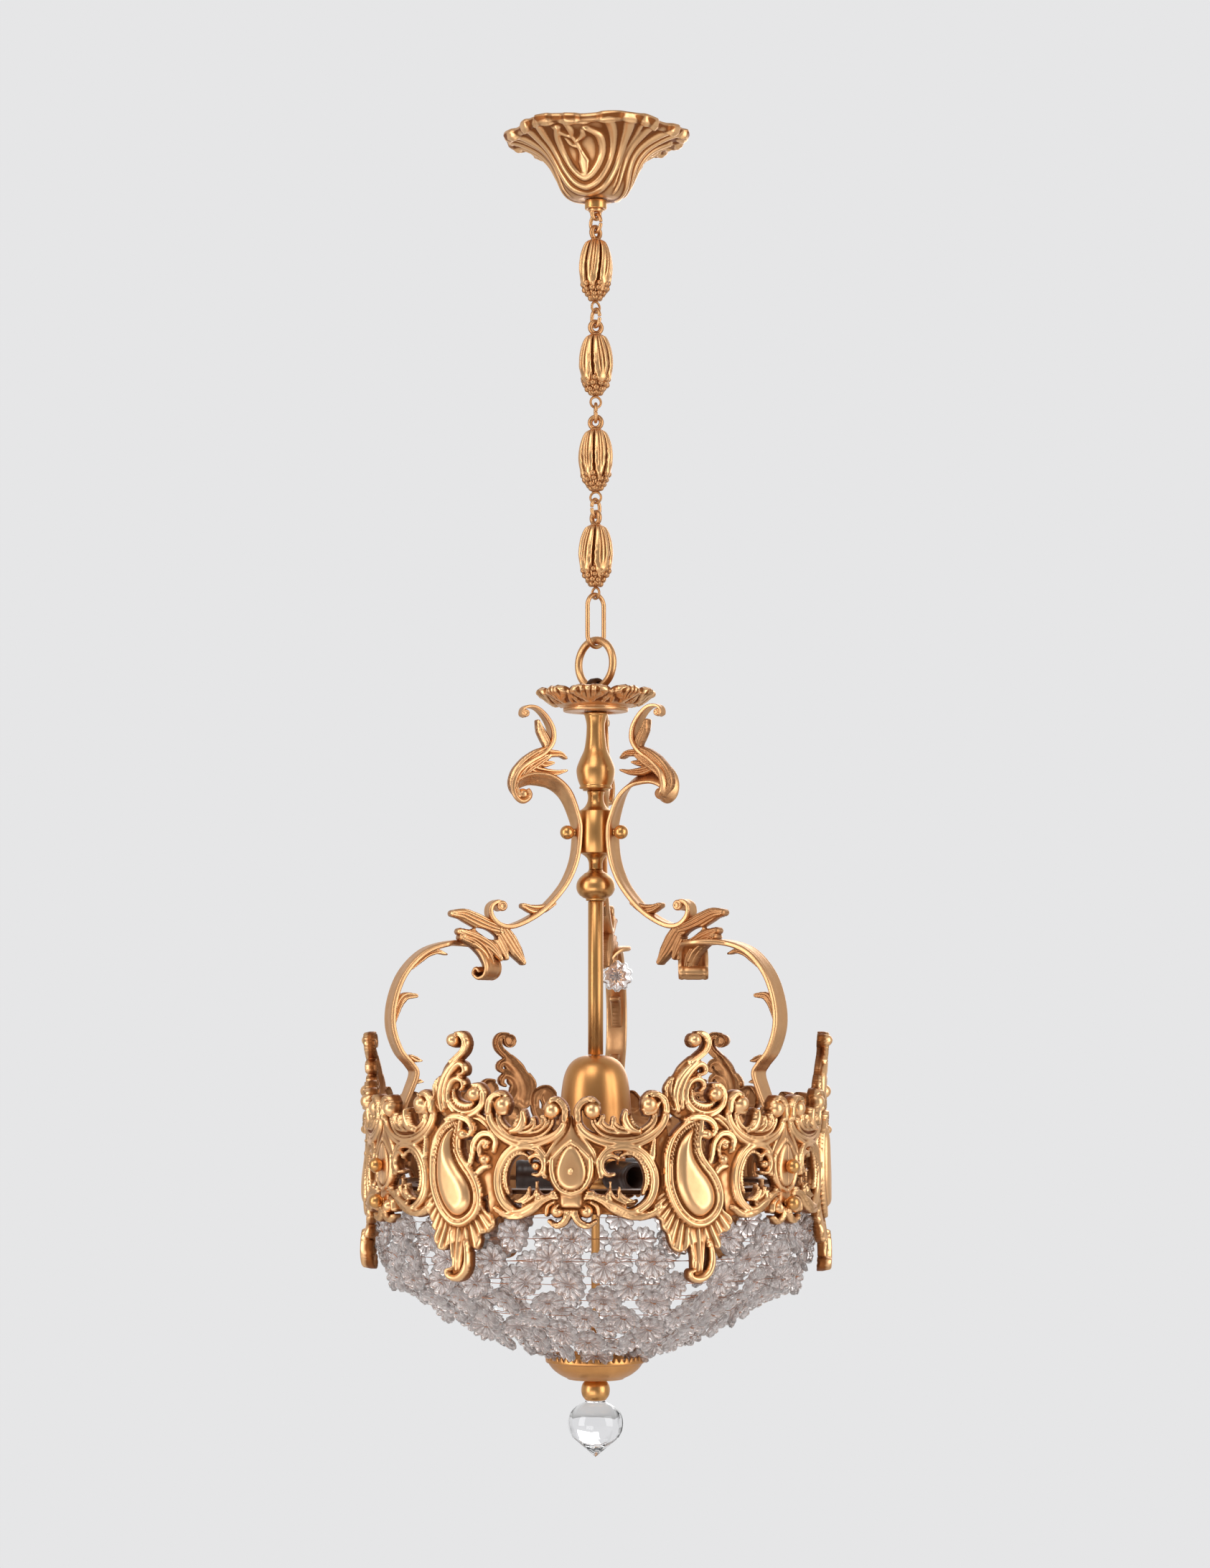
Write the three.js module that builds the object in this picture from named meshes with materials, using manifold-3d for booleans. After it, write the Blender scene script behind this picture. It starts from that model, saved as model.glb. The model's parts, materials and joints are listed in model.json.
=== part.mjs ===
// A gilt bronze basket chandelier: canopy, acorn chain, three-armed frame, pierced crown
// and a bowl of wired glass flowers. Millimetres, +Z up, origin on the ceiling at the canopy's centre.
// A front angle is counted from -Y, positive towards +X.

import * as THREE from 'three';
import { mergeVertices } from 'three/addons/utils/BufferGeometryUtils.js';
import Module from 'manifold-3d';

const wasm = await Module();
wasm.setup();

// Driving dimensions

const gap = 0.3; // between pieces that touch
const rodRadius = 3.15;
const boreRadius = rodRadius + gap; // of every piece on the centre rod

const canopyRadius = 66;
const canopyDrop = 51;
const canopyWall = 2;
const crossbar = { length: 100, width: 16, thick: 2.4, slot: 22, slotWidth: 5, slotAt: 29 };
const nut = { across: 9, thick: 5 };
const studRadius = 5;
const studNeck = { radius: 5.4, below: 2.2 }; // below: what shows under the collar
const collar = { wall: 2.8, height: 6.7 };

const studEye = { ring: 4, wire: 1.6, drop: 5.1 }; // drop: from the neck's end to the eye's lowest wire centre
const jumpRing = { halfWidth: 5.35, halfHeight: 6.6, wire: 1.4, split: 0.7 };
const acorn = { length: 46.85, radius: 13.15 };
const topEye = { ring: 4.3, wire: 1.9, rise: 4.8 };
const lowEye = { ring: 4.05, wire: 0.95, drop: 4.6 };
const longLink = { halfWidth: 8.6, length: 38.9, wire: 1.7 }; // on the wire's centre line
const suspension = { ring: 17.6, wire: 2.9 };
const ringAngles = [50.7, 38.2, 8.2, -26.8]; // front angles of the jump rings' planes
const linkAngles = [50.7, 25.7, -9.3, -44.3]; // front angles of the acorns' eye holes
const longLinkAngle = -38.3;
const suspensionAngle = 51.7;

const stud = { holePlay: 1.3, thick: 8, width: 15, foot: 14.7 }; // foot: from its hole's middle down
const cup = { rim: 41, height: 15, foot: 23.8, floor: 2.8, lobes: 16 };
const hub = { radius: 12.8, screwDrop: 31 }; // screwDrop: from its top to the screws
const tube = { radius: 5.6, length: 112.8 };
const bell = { height: 66.9, mouth: 29, wall: 1.8 };

const armAngles = [-60, 60, 180];
const strapThick = 4;
const strapWidth = 15;
const scrollWidth = 22; // of the strap where it rolls up
const scrollTwist = 55; // degrees that the rolled end turns about its own line
const footRadius = 158; // of the arm foot's middle
const ballHead = 5.25;
const screwShank = 2;
const screwHole = screwShank + 0.35;

// Heights above the crown's bosses, which are level with the upper screws
const bossDrop = 11; // from the bell's mouth down
const screwRise = -25.6; // of the lower screws
const footRise = -32; // of the arms' ends
const crownThick = 3.4;
const motifAngle = 60;
const hoop = { width: 23.7, thick: 3, rise: -16 };

const lampAngles = [-84.3, 35.7, 155.7];
const lamp = { radius: 11, length: 36, socket: 7.5, depth: 22, drop: 15.5 };
const cluster = { radius: 22, height: 30, drop: 5 };

const flower = { radius: 12.5, front: 2.6, back: 1, petals: 8, wire: 0.6, core: 0.35, foot: 0.9, grip: 0.93 };
// Each row of the bowl: its share of the way down the side, its number of flowers and how far out it sits.
const flowerRows = [[0, 26, 0], [0.099, 26, 0], [0.213, 26, 0], [0.344, 23, -0.8], [0.482, 20, 0.8],
  [0.617, 17, -0.8], [0.748, 13, 0.8], [0.876, 9, -0.8], [1, 6, 0.8]];

const plate = { rim: 36.5, height: 14.8, below: 7.8, foot: 20, floor: 6 }; // below: the bowl's last row
const tooth = { count: 24, height: 3.2, thick: 1.6 };
const finialBall = { radius: 10.4, height: 14.6, socket: 8.5 };
const glass = { neck: 8, belly: 20.3, bellyDrop: 15.7, height: 40.8, flutes: 8 };

// Levels that follow from them, downwards from the ceiling

const collarTop = -canopyDrop - gap;
const collarBottom = collarTop - collar.height;
const neckBottom = collarBottom - studNeck.below;

// Colours

const finish = (color, roughness, metalness) => ({ color, roughness, metalness });
const gilt = finish(0xc8965a, 0.38, 1);
const polished = finish(0xd9a866, 0.22, 1);
const steel = finish(0x9a9a96, 0.45, 1);
const dark = finish(0x3a2214, 0.4, 0.1);
const clear = finish(0xe6e2e2, 0.06, 0);

// Geometry helpers

const flipped = (geometry) => {
  const index = geometry.index.array;
  for (let i = 0; i < index.length; i += 3) [index[i], index[i + 1]] = [index[i + 1], index[i]];
  return geometry;
};

const signedVolume = (geometry) => {
  const [a, b, c] = [new THREE.Vector3(), new THREE.Vector3(), new THREE.Vector3()];
  const { array } = geometry.index;
  const place = geometry.attributes.position;
  let sum = 0;
  for (let i = 0; i < array.length; i += 3) {
    a.fromBufferAttribute(place, array[i]);
    b.fromBufferAttribute(place, array[i + 1]);
    c.fromBufferAttribute(place, array[i + 2]);
    sum += a.dot(b.cross(c)) / 6;
  }
  return sum;
};

// Merges shared points, drops empty triangles and turns the faces out.
const closed = (geometry) => {
  const bare = new THREE.BufferGeometry();
  bare.setAttribute('position', geometry.attributes.position.clone());
  if (geometry.index) bare.setIndex(geometry.index.clone());
  const merged = mergeVertices(bare, 1e-3);
  const kept = [];
  const { array } = merged.index;
  for (let i = 0; i < array.length; i += 3) {
    const [a, b, c] = [array[i], array[i + 1], array[i + 2]];
    if (a !== b && b !== c && c !== a) kept.push(a, b, c);
  }
  merged.setIndex(kept);
  return signedVolume(merged) < 0 ? flipped(merged) : merged;
};

const solid = (geometry) => {
  const body = closed(geometry);
  const vertProperties = Float32Array.from(body.attributes.position.array);
  const triVerts = Uint32Array.from(body.index.array);
  return new wasm.Manifold(new wasm.Mesh({ numProp: 3, vertProperties, triVerts }));
};

const geometryOf = (manifold) => {
  const mesh = manifold.getMesh();
  const geometry = new THREE.BufferGeometry();
  geometry.setAttribute('position', new THREE.BufferAttribute(Float32Array.from(mesh.vertProperties), 3));
  geometry.setIndex(Array.from(mesh.triVerts));
  return geometry;
};

const joined = (...parts) => geometryOf(parts.map(solid).reduce((whole, next) => whole.add(next)));
const cut = (body, ...tools) => geometryOf(tools.map(solid).reduce((rest, tool) => rest.subtract(tool), solid(body)));

// A profile of [radius, height] points turned about Z; a ring's profile closes on itself.
const turned = (profile, segments, isRing = false) => {
  const points = profile.map(([r, z]) => new THREE.Vector2(r, z));
  if (isRing) points.push(points[0].clone());
  return new THREE.LatheGeometry(points, segments).rotateX(Math.PI / 2);
};

// A revolved outline with the centre rod's bore through it.
const bored = (outline, segments) => {
  const top = outline[0][1];
  const bottom = outline[outline.length - 1][1];
  return turned([[boreRadius, top], ...outline, [boreRadius, bottom]], segments, true);
};

// Skins a row of equal point loops; the row closes on itself or is capped.
const skinned = (loops, isLoop = false) => {
  const sides = loops[0].length;
  const index = [];
  const spans = isLoop ? loops.length : loops.length - 1;
  for (let i = 0; i < spans; i += 1) {
    const here = i * sides;
    const next = ((i + 1) % loops.length) * sides;
    for (let j = 0; j < sides; j += 1) {
      const k = (j + 1) % sides;
      index.push(here + j, next + j, next + k, here + j, next + k, here + k);
    }
  }
  if (!isLoop) {
    const last = (loops.length - 1) * sides;
    for (let j = 1; j < sides - 1; j += 1) index.push(0, j, j + 1, last, last + j + 1, last + j);
  }
  const geometry = new THREE.BufferGeometry();
  geometry.setAttribute('position', new THREE.Float32BufferAttribute(loops.flat(2), 3));
  geometry.setIndex(index);
  return geometry;
};

// A round wire along a plane curve of [across, height] points, lying in the XZ plane.
const wire = (line, radius, sides, isLoop) => {
  const count = line.length;
  const loops = line.map(([x, z], i) => {
    const before = line[isLoop ? (i + count - 1) % count : Math.max(i - 1, 0)];
    const after = line[isLoop ? (i + 1) % count : Math.min(i + 1, count - 1)];
    const along = new THREE.Vector2(after[0] - before[0], after[1] - before[1]).normalize();
    return Array.from({ length: sides }, (_, j) => {
      const turn = (2 * Math.PI * j) / sides;
      const out = radius * Math.cos(turn);
      return [x + along.y * out, radius * Math.sin(turn), z - along.x * out];
    });
  });
  return skinned(loops, isLoop);
};

const circleLine = (ring, steps) => Array.from({ length: steps }, (_, i) => {
  const turn = (2 * Math.PI * i) / steps;
  return [ring * Math.sin(turn), ring * Math.cos(turn)];
});

const torus = (ring, radius, steps, sides) => wire(circleLine(ring, steps), radius, sides, true);

// A smooth line through [a, b] points, sampled in even steps of its parameter.
const smoothLine = (points, steps) => {
  const curve = new THREE.CatmullRomCurve3(points.map(([a, b]) => new THREE.Vector3(a, b, 0)), false, 'centripetal');
  return curve.getPoints(steps).map((p) => [p.x, p.y]);
};

const mix = (values, share) => {
  const at = share * (values.length - 1);
  const low = Math.min(Math.floor(at), values.length - 2);
  return THREE.MathUtils.lerp(values[low], values[low + 1], at - low);
};

// A flat strap along a line in the XZ plane; thickness is in that plane and width across it, and twists
// (degrees about the line) turn both. It can end in a straight run.
const strap = (points, curveSteps, thicks, widths, twists = [0, 0], straightEnd = null) => {
  const line = smoothLine(points, curveSteps);
  if (straightEnd) line.push(straightEnd);
  const steps = line.length - 1;
  const loops = line.map(([x, z], i) => {
    const before = line[Math.max(i - 1, 0)];
    const after = line[Math.min(i + 1, steps)];
    const along = new THREE.Vector2(after[0] - before[0], after[1] - before[1]).normalize();
    const half = mix(thicks, i / steps) / 2;
    const side = mix(widths, i / steps) / 2;
    const twist = THREE.MathUtils.degToRad(mix(twists, i / steps));
    const corner = (upper, edge) => {
      const inPlane = upper * half * Math.cos(twist) + edge * side * Math.sin(twist);
      const across = edge * side * Math.cos(twist) - upper * half * Math.sin(twist);
      return [x + along.y * inPlane, across, z - along.x * inPlane];
    };
    return [corner(1, -1), corner(1, 1), corner(-1, 1), corner(-1, -1)];
  });
  return skinned(loops);
};

// A cylinder along X, from one x to another, at a height.
const barAlongX = (radius, from, to, height, sides = 10) => {
  const bar = new THREE.CylinderGeometry(radius, radius, to - from, sides);
  return bar.rotateZ(Math.PI / 2).translate((from + to) / 2, 0, height);
};

const polar = (radius, frontAngle, z) => {
  const turn = THREE.MathUtils.degToRad(frontAngle);
  return [radius * Math.sin(turn), -radius * Math.cos(turn), z];
};

// Turns a piece that points along +X to a front angle.
const facing = (mesh, frontAngle) => {
  mesh.rotation.z = THREE.MathUtils.degToRad(frontAngle - 90);
  return mesh;
};

const chandelier = new THREE.Group();

const add = (name, geometry, look, parent = chandelier) => {
  const mesh = new THREE.Mesh(closed(geometry), new THREE.MeshStandardMaterial(look));
  mesh.name = name;
  parent.add(mesh);
  return mesh;
};

// Ceiling crossbar, its lock nut, and the stud that hangs everything

const studTurn = ringAngles[0];

const crossbarShape = () => {
  const { length, width, slot, slotWidth, slotAt } = crossbar;
  const half = length / 2 - width / 2;
  const shape = new THREE.Shape();
  shape.moveTo(-half, -width / 2);
  shape.lineTo(half, -width / 2);
  shape.absarc(half, 0, width / 2, -Math.PI / 2, Math.PI / 2, false);
  shape.lineTo(-half, width / 2);
  shape.absarc(-half, 0, width / 2, Math.PI / 2, (3 * Math.PI) / 2, false);
  shape.holes.push(new THREE.Path().absarc(0, 0, studRadius + gap, 0, 2 * Math.PI, true));
  for (const side of [-1, 1]) {
    const hole = new THREE.Path();
    const [low, high] = [side * slotAt - slot / 2 + slotWidth / 2, side * slotAt + slot / 2 - slotWidth / 2];
    hole.moveTo(low, slotWidth / 2);
    hole.lineTo(high, slotWidth / 2);
    hole.absarc(high, 0, slotWidth / 2, Math.PI / 2, -Math.PI / 2, true);
    hole.lineTo(low, -slotWidth / 2);
    hole.absarc(low, 0, slotWidth / 2, -Math.PI / 2, Math.PI / 2, true);
    shape.holes.push(hole);
  }
  return shape;
};

const flat = (shape, thick, curveSegments) => (
  new THREE.ExtrudeGeometry(shape, { depth: thick, bevelEnabled: false, curveSegments }));
const crossbarPlate = flat(crossbarShape(), crossbar.thick, 6);
add('ceiling_crossbar', crossbarPlate.translate(0, 0, -crossbar.thick), steel);

const nutTop = -crossbar.thick - gap;
const cylinderAt = (radius, top, height, sides) => {
  const cylinder = new THREE.CylinderGeometry(radius, radius, height, sides);
  return cylinder.rotateX(Math.PI / 2).translate(0, 0, top - height / 2);
};
const nutBore = cylinderAt(studRadius + gap, nutTop + 1, nut.thick + 2, 16);
add('lock_nut', cut(cylinderAt(nut.across, nutTop, nut.thick, 6), nutBore), steel);

const studProfile = [[0, 0], [studRadius, 0], [studRadius, collarTop], [studNeck.radius, collarBottom - gap],
  [studNeck.radius, neckBottom], [0, neckBottom]];
const studBar = neckBottom - studEye.drop;
const studEyeRing = torus(studEye.ring, studEye.wire, 12, 6).rotateZ(Math.PI / 2);
studEyeRing.translate(0, 0, studBar + studEye.ring);
const studBlank = joined(turned(studProfile, 12), studEyeRing);
facing(add('canopy_stud', studBlank, gilt), studTurn);

// Canopy: a lobed bell with swirling flutes

const lobeCount = 6;
const canopyLine = [[1, 0], [0.93, -0.09], [0.74, -0.22], [0.57, -0.39], [0.45, -0.62], [0.33, -0.86], [0.22, -1]];
const canopySwirl = 0.5;
const canopyWave = 0.07; // of the radius
const canopyColumns = 24;
const canopyHole = studNeck.radius + 0.8;

const canopyLoop = (share, drop, inset, depth) => Array.from({ length: canopyColumns }, (_, i) => {
  const turn = (2 * Math.PI * i) / canopyColumns;
  const z = drop * canopyDrop;
  const wave = Math.cos(lobeCount * turn + canopySwirl * lobeCount * drop);
  const radius = canopyRadius * share * (1 + depth * wave) - inset;
  return [radius * Math.cos(turn), radius * Math.sin(turn), z];
});

const canopyShell = () => {
  const outer = canopyLine.map(([share, drop]) => canopyLoop(share, drop, 0, canopyWave * share));
  const inner = canopyLine.slice(1).map(([share, drop]) => {
    const lift = drop === -1 ? canopyWall / canopyDrop : 0;
    return canopyLoop(share, drop + lift, canopyWall, canopyWave * share);
  });
  const mouth = canopyLoop(1, 0, canopyWall, canopyWave);
  const ring = (z) => circleLine(canopyHole, canopyColumns).map(([x, y]) => [y, x, z]);
  const floor = [ring(-canopyDrop), ring(-canopyDrop + canopyWall)];
  return skinned([...outer, ...floor, ...inner.reverse(), mouth], true);
};
add('canopy_shell', canopyShell(), gilt);

const collarBore = studNeck.radius + gap;
const collarRadius = studNeck.radius + collar.wall;
const collarLine = [[collarBore, collarTop], [collarRadius - 1, collarTop], [collarRadius, collarTop - 1.2],
  [collarRadius, collarBottom + 1], [collarRadius - 0.8, collarBottom], [collarBore, collarBottom]];
add('canopy_collar', turned(collarLine, 16, true), polished);

// Chain: jump rings and acorn links, worked out downwards from the stud's eye

const ovalLine = () => {
  const steps = 14;
  const open = jumpRing.split / (2 * jumpRing.halfHeight);
  return Array.from({ length: steps + 1 }, (_, i) => {
    const turn = Math.PI / 2 + open + ((2 * Math.PI - 2 * open) * i) / steps;
    return [jumpRing.halfWidth * Math.sin(turn), jumpRing.halfHeight * Math.cos(turn)];
  });
};

const acornGeometry = () => {
  const { length, radius } = acorn;
  const line = [[0, 0], [0.42, 0], [0.72, -0.09], [0.93, -0.26], [1, -0.47], [0.95, -0.66], [0.82, -0.76],
    [0.72, -0.88], [0.38, -1], [0, -1]];
  const body = turned(line.map(([r, z]) => [r * radius, z * length]), 10);
  const upper = torus(topEye.ring, topEye.wire, 10, 5).rotateZ(Math.PI / 2).translate(0, 0, topEye.rise);
  const lower = torus(lowEye.ring, lowEye.wire, 10, 5).rotateZ(Math.PI / 2).translate(0, 0, -length - lowEye.drop);
  return joined(body, upper, lower);
};

const stadiumLine = () => {
  const { halfWidth, length } = longLink;
  const straight = length / 2 - halfWidth;
  const half = 9;
  const bend = (sign) => Array.from({ length: half + 1 }, (_, i) => {
    const turn = (Math.PI * i) / half;
    return [sign * halfWidth * Math.cos(turn), sign * (straight + halfWidth * Math.sin(turn))];
  });
  return [...bend(1), ...bend(-1)];
};

const hang = (name, geometry, look, height, frontAngle) => {
  const mesh = facing(add(name, geometry, look), frontAngle);
  mesh.position.z = height;
  return mesh;
};

let barHeight = studBar;
let barWire = studEye.wire;
const ringNames = ['top_ring', 'jump_ring_1', 'jump_ring_2', 'jump_ring_3'];
linkAngles.forEach((linkAngle, i) => {
  const ringTop = barHeight + barWire + gap + jumpRing.wire;
  const ringBottom = ringTop - 2 * jumpRing.halfHeight;
  const ring = wire(ovalLine(), jumpRing.wire, 6, false);
  hang(ringNames[i], ring, gilt, (ringTop + ringBottom) / 2, ringAngles[i]);
  const eyeCentre = ringBottom + jumpRing.wire + gap + topEye.wire - topEye.ring;
  const bodyTop = eyeCentre - topEye.rise;
  hang(`chain_link_${i + 1}`, acornGeometry(), gilt, bodyTop, linkAngle);
  barHeight = bodyTop - acorn.length - lowEye.drop - lowEye.ring;
  barWire = lowEye.wire;
});

const longTop = barHeight + barWire + gap + longLink.wire;
const longBottom = longTop - longLink.length;
hang('long_link', wire(stadiumLine(), longLink.wire, 6, true), gilt, (longTop + longBottom) / 2, longLinkAngle);

const suspensionTop = longBottom + longLink.wire + gap + suspension.wire;
const suspensionCentre = suspensionTop - suspension.ring;
const suspensionBottom = suspensionCentre - suspension.ring;
hang('suspension_ring', torus(suspension.ring, suspension.wire, 28, 6), gilt, suspensionCentre, suspensionAngle);

// Ring stud: a domed tongue with a cross hole for the suspension ring

const studHole = suspension.wire + stud.holePlay;
const studHoleCentre = suspensionBottom + suspension.wire + 3 * gap - studHole;
const studBase = studHoleCentre - stud.foot;
const ringStud = () => {
  const outline = new THREE.Shape();
  const half = stud.width / 2;
  outline.moveTo(-half, studBase);
  outline.lineTo(half, studBase);
  outline.lineTo(half, studHoleCentre);
  outline.absarc(0, studHoleCentre, half, 0, Math.PI, false);
  outline.lineTo(-half, studBase);
  const tongue = flat(outline, stud.thick, 8);
  tongue.rotateX(Math.PI / 2).translate(0, stud.thick / 2, 0).rotateZ(Math.PI / 2);
  const hole = barAlongX(studHole, -stud.thick, stud.thick, studHoleCentre, 12);
  return cut(tongue, hole);
};
facing(add('ring_stud', ringStud(), dark), suspensionAngle);

// Leaf cup under the ring: a scalloped dish

const cupFloor = studBase - gap;
const cupBottom = cupFloor - cup.floor;
const cupRim = cupBottom + cup.height;
const cupLip = 4;
const cupShoulder = 6; // from the rim down to where the wall turns out
const cupWave = 1.4; // of the scalloped rim, up and down
const cupColumns = 2 * cup.lobes;
const cupLoop = (radius, z, wave) => Array.from({ length: cupColumns }, (_, i) => {
  const turn = (2 * Math.PI * i) / cupColumns;
  const r = radius + (i % 2 ? -wave : wave);
  return [r * Math.cos(turn), r * Math.sin(turn), z - (i % 2 ? wave * 0.6 : 0)];
});
const leafCup = () => skinned([
  cupLoop(boreRadius, cupBottom, 0),
  cupLoop(cup.foot, cupBottom, 0),
  cupLoop(cup.foot, cupFloor, 0),
  cupLoop(cup.rim - cupLip - 1, cupRim - cupShoulder, 0.8 * cupWave),
  cupLoop(cup.rim - cupWave, cupRim - 1, cupWave),
  cupLoop(cup.rim - cupWave - cupLip, cupRim, cupWave),
  cupLoop(cup.foot - cupLip, cupFloor, 0),
  cupLoop(boreRadius, cupFloor, 0),
], true);
add('leaf_cup', leafCup(), gilt);

// Stem: baluster, hub, lower ball and tube, all on the centre rod, each drawn down from its own top

const below = (outline, top) => outline.map(([radius, drop]) => [radius, top - drop]);
const endOf = (outline, top) => top - outline[outline.length - 1][1];

const balusterTop = cupBottom - gap;
const balusterLine = [[8.7, 0], [8.7, 4.2], [6.8, 11.7], [8.4, 27.7], [12.4, 35.7], [14.2, 41.7], [13.8, 47.7],
  [11.4, 55.6], [9.5, 56.8], [9.4, 58.1]];
add('stem_baluster', bored(below(balusterLine, balusterTop), 14), polished);

const hubTop = endOf(balusterLine, balusterTop) - gap;
const hubLine = [[6.4, 0], [5.8, 6], [10.4, 14], [hub.radius, 15.4], [hub.radius, 45.8], [9, 47], [5, 54], [5, 57.7]];
const hubMiddle = hubTop - hub.screwDrop;
const hubHoleDepth = 6;
const holeOverrun = 4; // of a drill past the face it enters
const hubHoles = armAngles.map((angle) => {
  const hole = barAlongX(screwHole, hub.radius - hubHoleDepth, hub.radius + holeOverrun, hubMiddle, 8);
  return hole.rotateZ(THREE.MathUtils.degToRad(angle - 90));
});
add('stem_hub', cut(bored(below(hubLine, hubTop), 15), ...hubHoles), polished);

const stemBallTop = endOf(hubLine, hubTop) - gap;
const stemBallLine = [[5.4, 0], [9, 3.4], [13, 7.6], [14.3, 12.4], [13, 17.4], [9, 20.8], [7.1, 21.4], [7.1, 23]];
add('stem_ball', bored(below(stemBallLine, stemBallTop), 14), polished);

const tubeTop = endOf(stemBallLine, stemBallTop) - gap;
const tubeBottom = tubeTop - tube.length;
add('stem_tube', bored([[tube.radius, tubeTop], [tube.radius, tubeBottom]], 14), polished);

// Bell: a spun cover over the lamp cluster

const bellTop = tubeBottom - gap;
const bellBottom = bellTop - bell.height;
const bellLine = [[8, 0], [17.5, -3.5], [22.6, -10], [25, -22], [26, -42]];
const bellShell = () => {
  const outer = bellLine.map(([r, z]) => [r, bellTop + z]);
  outer.push([bell.mouth, bellBottom]);
  const inner = outer.slice(1).map(([r, z]) => [r - bell.wall, z === bellBottom ? z : z - 0.6]);
  const roof = bellTop - bell.wall;
  return turned([[boreRadius, bellTop], ...outer, ...inner.reverse(), [8, roof], [boreRadius, roof]], 16, true);
};
add('bell_cover', bellShell(), polished);

// Three scrolled arms of flat strap, in the plane of radius and height.
// Points near the hub are drawn from the strap's middle at the screw, those of the foot from the crown's bosses.

const strapAtHub = hub.radius + gap + strapThick / 2;
const bossLevel = bellBottom - bossDrop;
const fromHub = (points) => points.map(([r, z]) => [strapAtHub + r, hubMiddle + z]);
const crestLine = fromHub([[41.9, 85.5], [41.3, 90.6], [36.2, 91.6], [28.3, 87], [21.6, 77], [21.3, 66.5], [27.9, 58],
  [38.5, 51], [47.5, 43], [51, 34], [49.5, 26], [44.5, 24.5]]);
const bodyLine = fromHub([[49, 33], [43, 37], [34.5, 39], [20.9, 37], [9.4, 28], [2.1, 12], [0, 0], [1.9, -18.5],
  [7.9, -34], [16.5, -46], [28.5, -57.5], [41.5, -65.5], [53.5, -69.8], [63, -68.6], [69.3, -62.5], [69.5, -55.5],
  [64.5, -52.2], [59.9, -55.5]]);
const leafLine = fromHub([[21.5, -56], [31, -57], [43.4, -54.1]]);
const clawOutline = fromHub([[54, -69.8], [66, -68.5], [75.3, -65.6], [85.1, -61.3], [94.8, -59], [99.6, -61.2],
  [92.5, -69.5], [94.5, -74.5], [88, -79], [78.5, -86], [66, -90.5], [58, -92.5], [53, -91], [42.5, -96], [47.5, -86],
  [52.9, -80], [57.5, -75.5]]);
const clawWindow = fromHub([[73, -74]])[0];
const clawThick = 9;
const bodyTwists = [40, 34, 0, 0, 0, 0, 0, 0, 0];
const sweepLine = [
  ...fromHub([[76.4, -101.5], [75, -105.6], [69.5, -104.5], [67.5, -97], [73, -88], [85.5, -83.2], [100.9, -82.6]]),
  ...[[-22, -89], [-6.5, -104], [1.6, -123], [3.2, -142]].map(([r, z]) => [footRadius + r, hubMiddle + z]),
  ...[[-2.5, 82], [-11.5, 71.5], [-15, 64.9], [-11, 53], [-6, 41], [-2.2, 27], [-0.4, 15], [0, 6]]
    .map(([r, z]) => [footRadius + r, bossLevel + z]),
];
const sweepTwists = [scrollTwist, scrollTwist, 0, 0, 0, 0, 0];
const crownScrewHeights = [bossLevel, bossLevel + screwRise];

const claw = () => {
  const outline = new THREE.Shape(clawOutline.map(([r, z]) => new THREE.Vector2(r, z)));
  outline.holes.push(new THREE.Path().absellipse(...clawWindow, 7, 2.4, 0, 2 * Math.PI, false, 0.35));
  return flat(outline, clawThick, 6).rotateX(Math.PI / 2).translate(0, clawThick / 2, 0);
};

const armGeometry = () => {
  const footEnd = [footRadius, bossLevel + footRise];
  const crest = strap(crestLine, 14, [2.4, 3.6, 3.6, 4.2, 3], [8, 11, 14, 16, 15]);
  const bodyThicks = [3.4, 4.2, strapThick, strapThick, strapThick, 3];
  const body = strap(bodyLine, 27, bodyThicks, [14, 16, 15, 14, 12], bodyTwists);
  const leaf = strap(leafLine, 3, [6, 4, 2], [9, 7, 5]);
  const sweepWidths = [scrollWidth, scrollWidth, 18, 17, strapWidth, strapWidth];
  const sweep = strap(sweepLine, 27, [3, 4, strapThick, strapThick], sweepWidths, sweepTwists, footEnd);
  const whole = joined(crest, body, leaf, claw(), sweep);
  const holeReach = strapThick + gap;
  const hubHole = barAlongX(screwHole, strapAtHub - holeReach, strapAtHub + holeReach, hubMiddle, 8);
  const footHoles = crownScrewHeights.map((z) => (
    barAlongX(screwHole, footRadius - holeReach, footRadius + holeReach, z, 8)));
  return cut(whole, hubHole, ...footHoles);
};
armAngles.forEach((angle, i) => facing(add(`arm_${i + 1}`, armGeometry(), gilt), angle));

// Ball-headed screws: one per arm at the hub, two per arm through the crown

const ballScrew = (headAt, tipAt, height) => {
  const neck = Math.sqrt(ballHead ** 2 - screwShank ** 2);
  const steps = 4;
  const start = Math.asin(screwShank / ballHead);
  const round = Array.from({ length: steps + 1 }, (_, i) => {
    const turn = start + ((Math.PI - start) * i) / steps;
    return [ballHead * Math.sin(turn), headAt - ballHead * Math.cos(turn)];
  });
  round[0] = [screwShank, headAt - neck];
  round[steps] = [0, headAt + ballHead];
  const line = [[0, tipAt], [screwShank, tipAt], ...round];
  return turned(line, 9).rotateY(Math.PI / 2).translate(0, 0, height);
};

const hubHeadAt = strapAtHub + strapThick / 2 + 2 * gap + ballHead;
const hubTipAt = hub.radius - hubHoleDepth + 2 * gap;
armAngles.forEach((angle, i) => {
  facing(add(`hub_screw_${i + 1}`, ballScrew(hubHeadAt, hubTipAt, hubMiddle), polished), angle);
});

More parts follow.
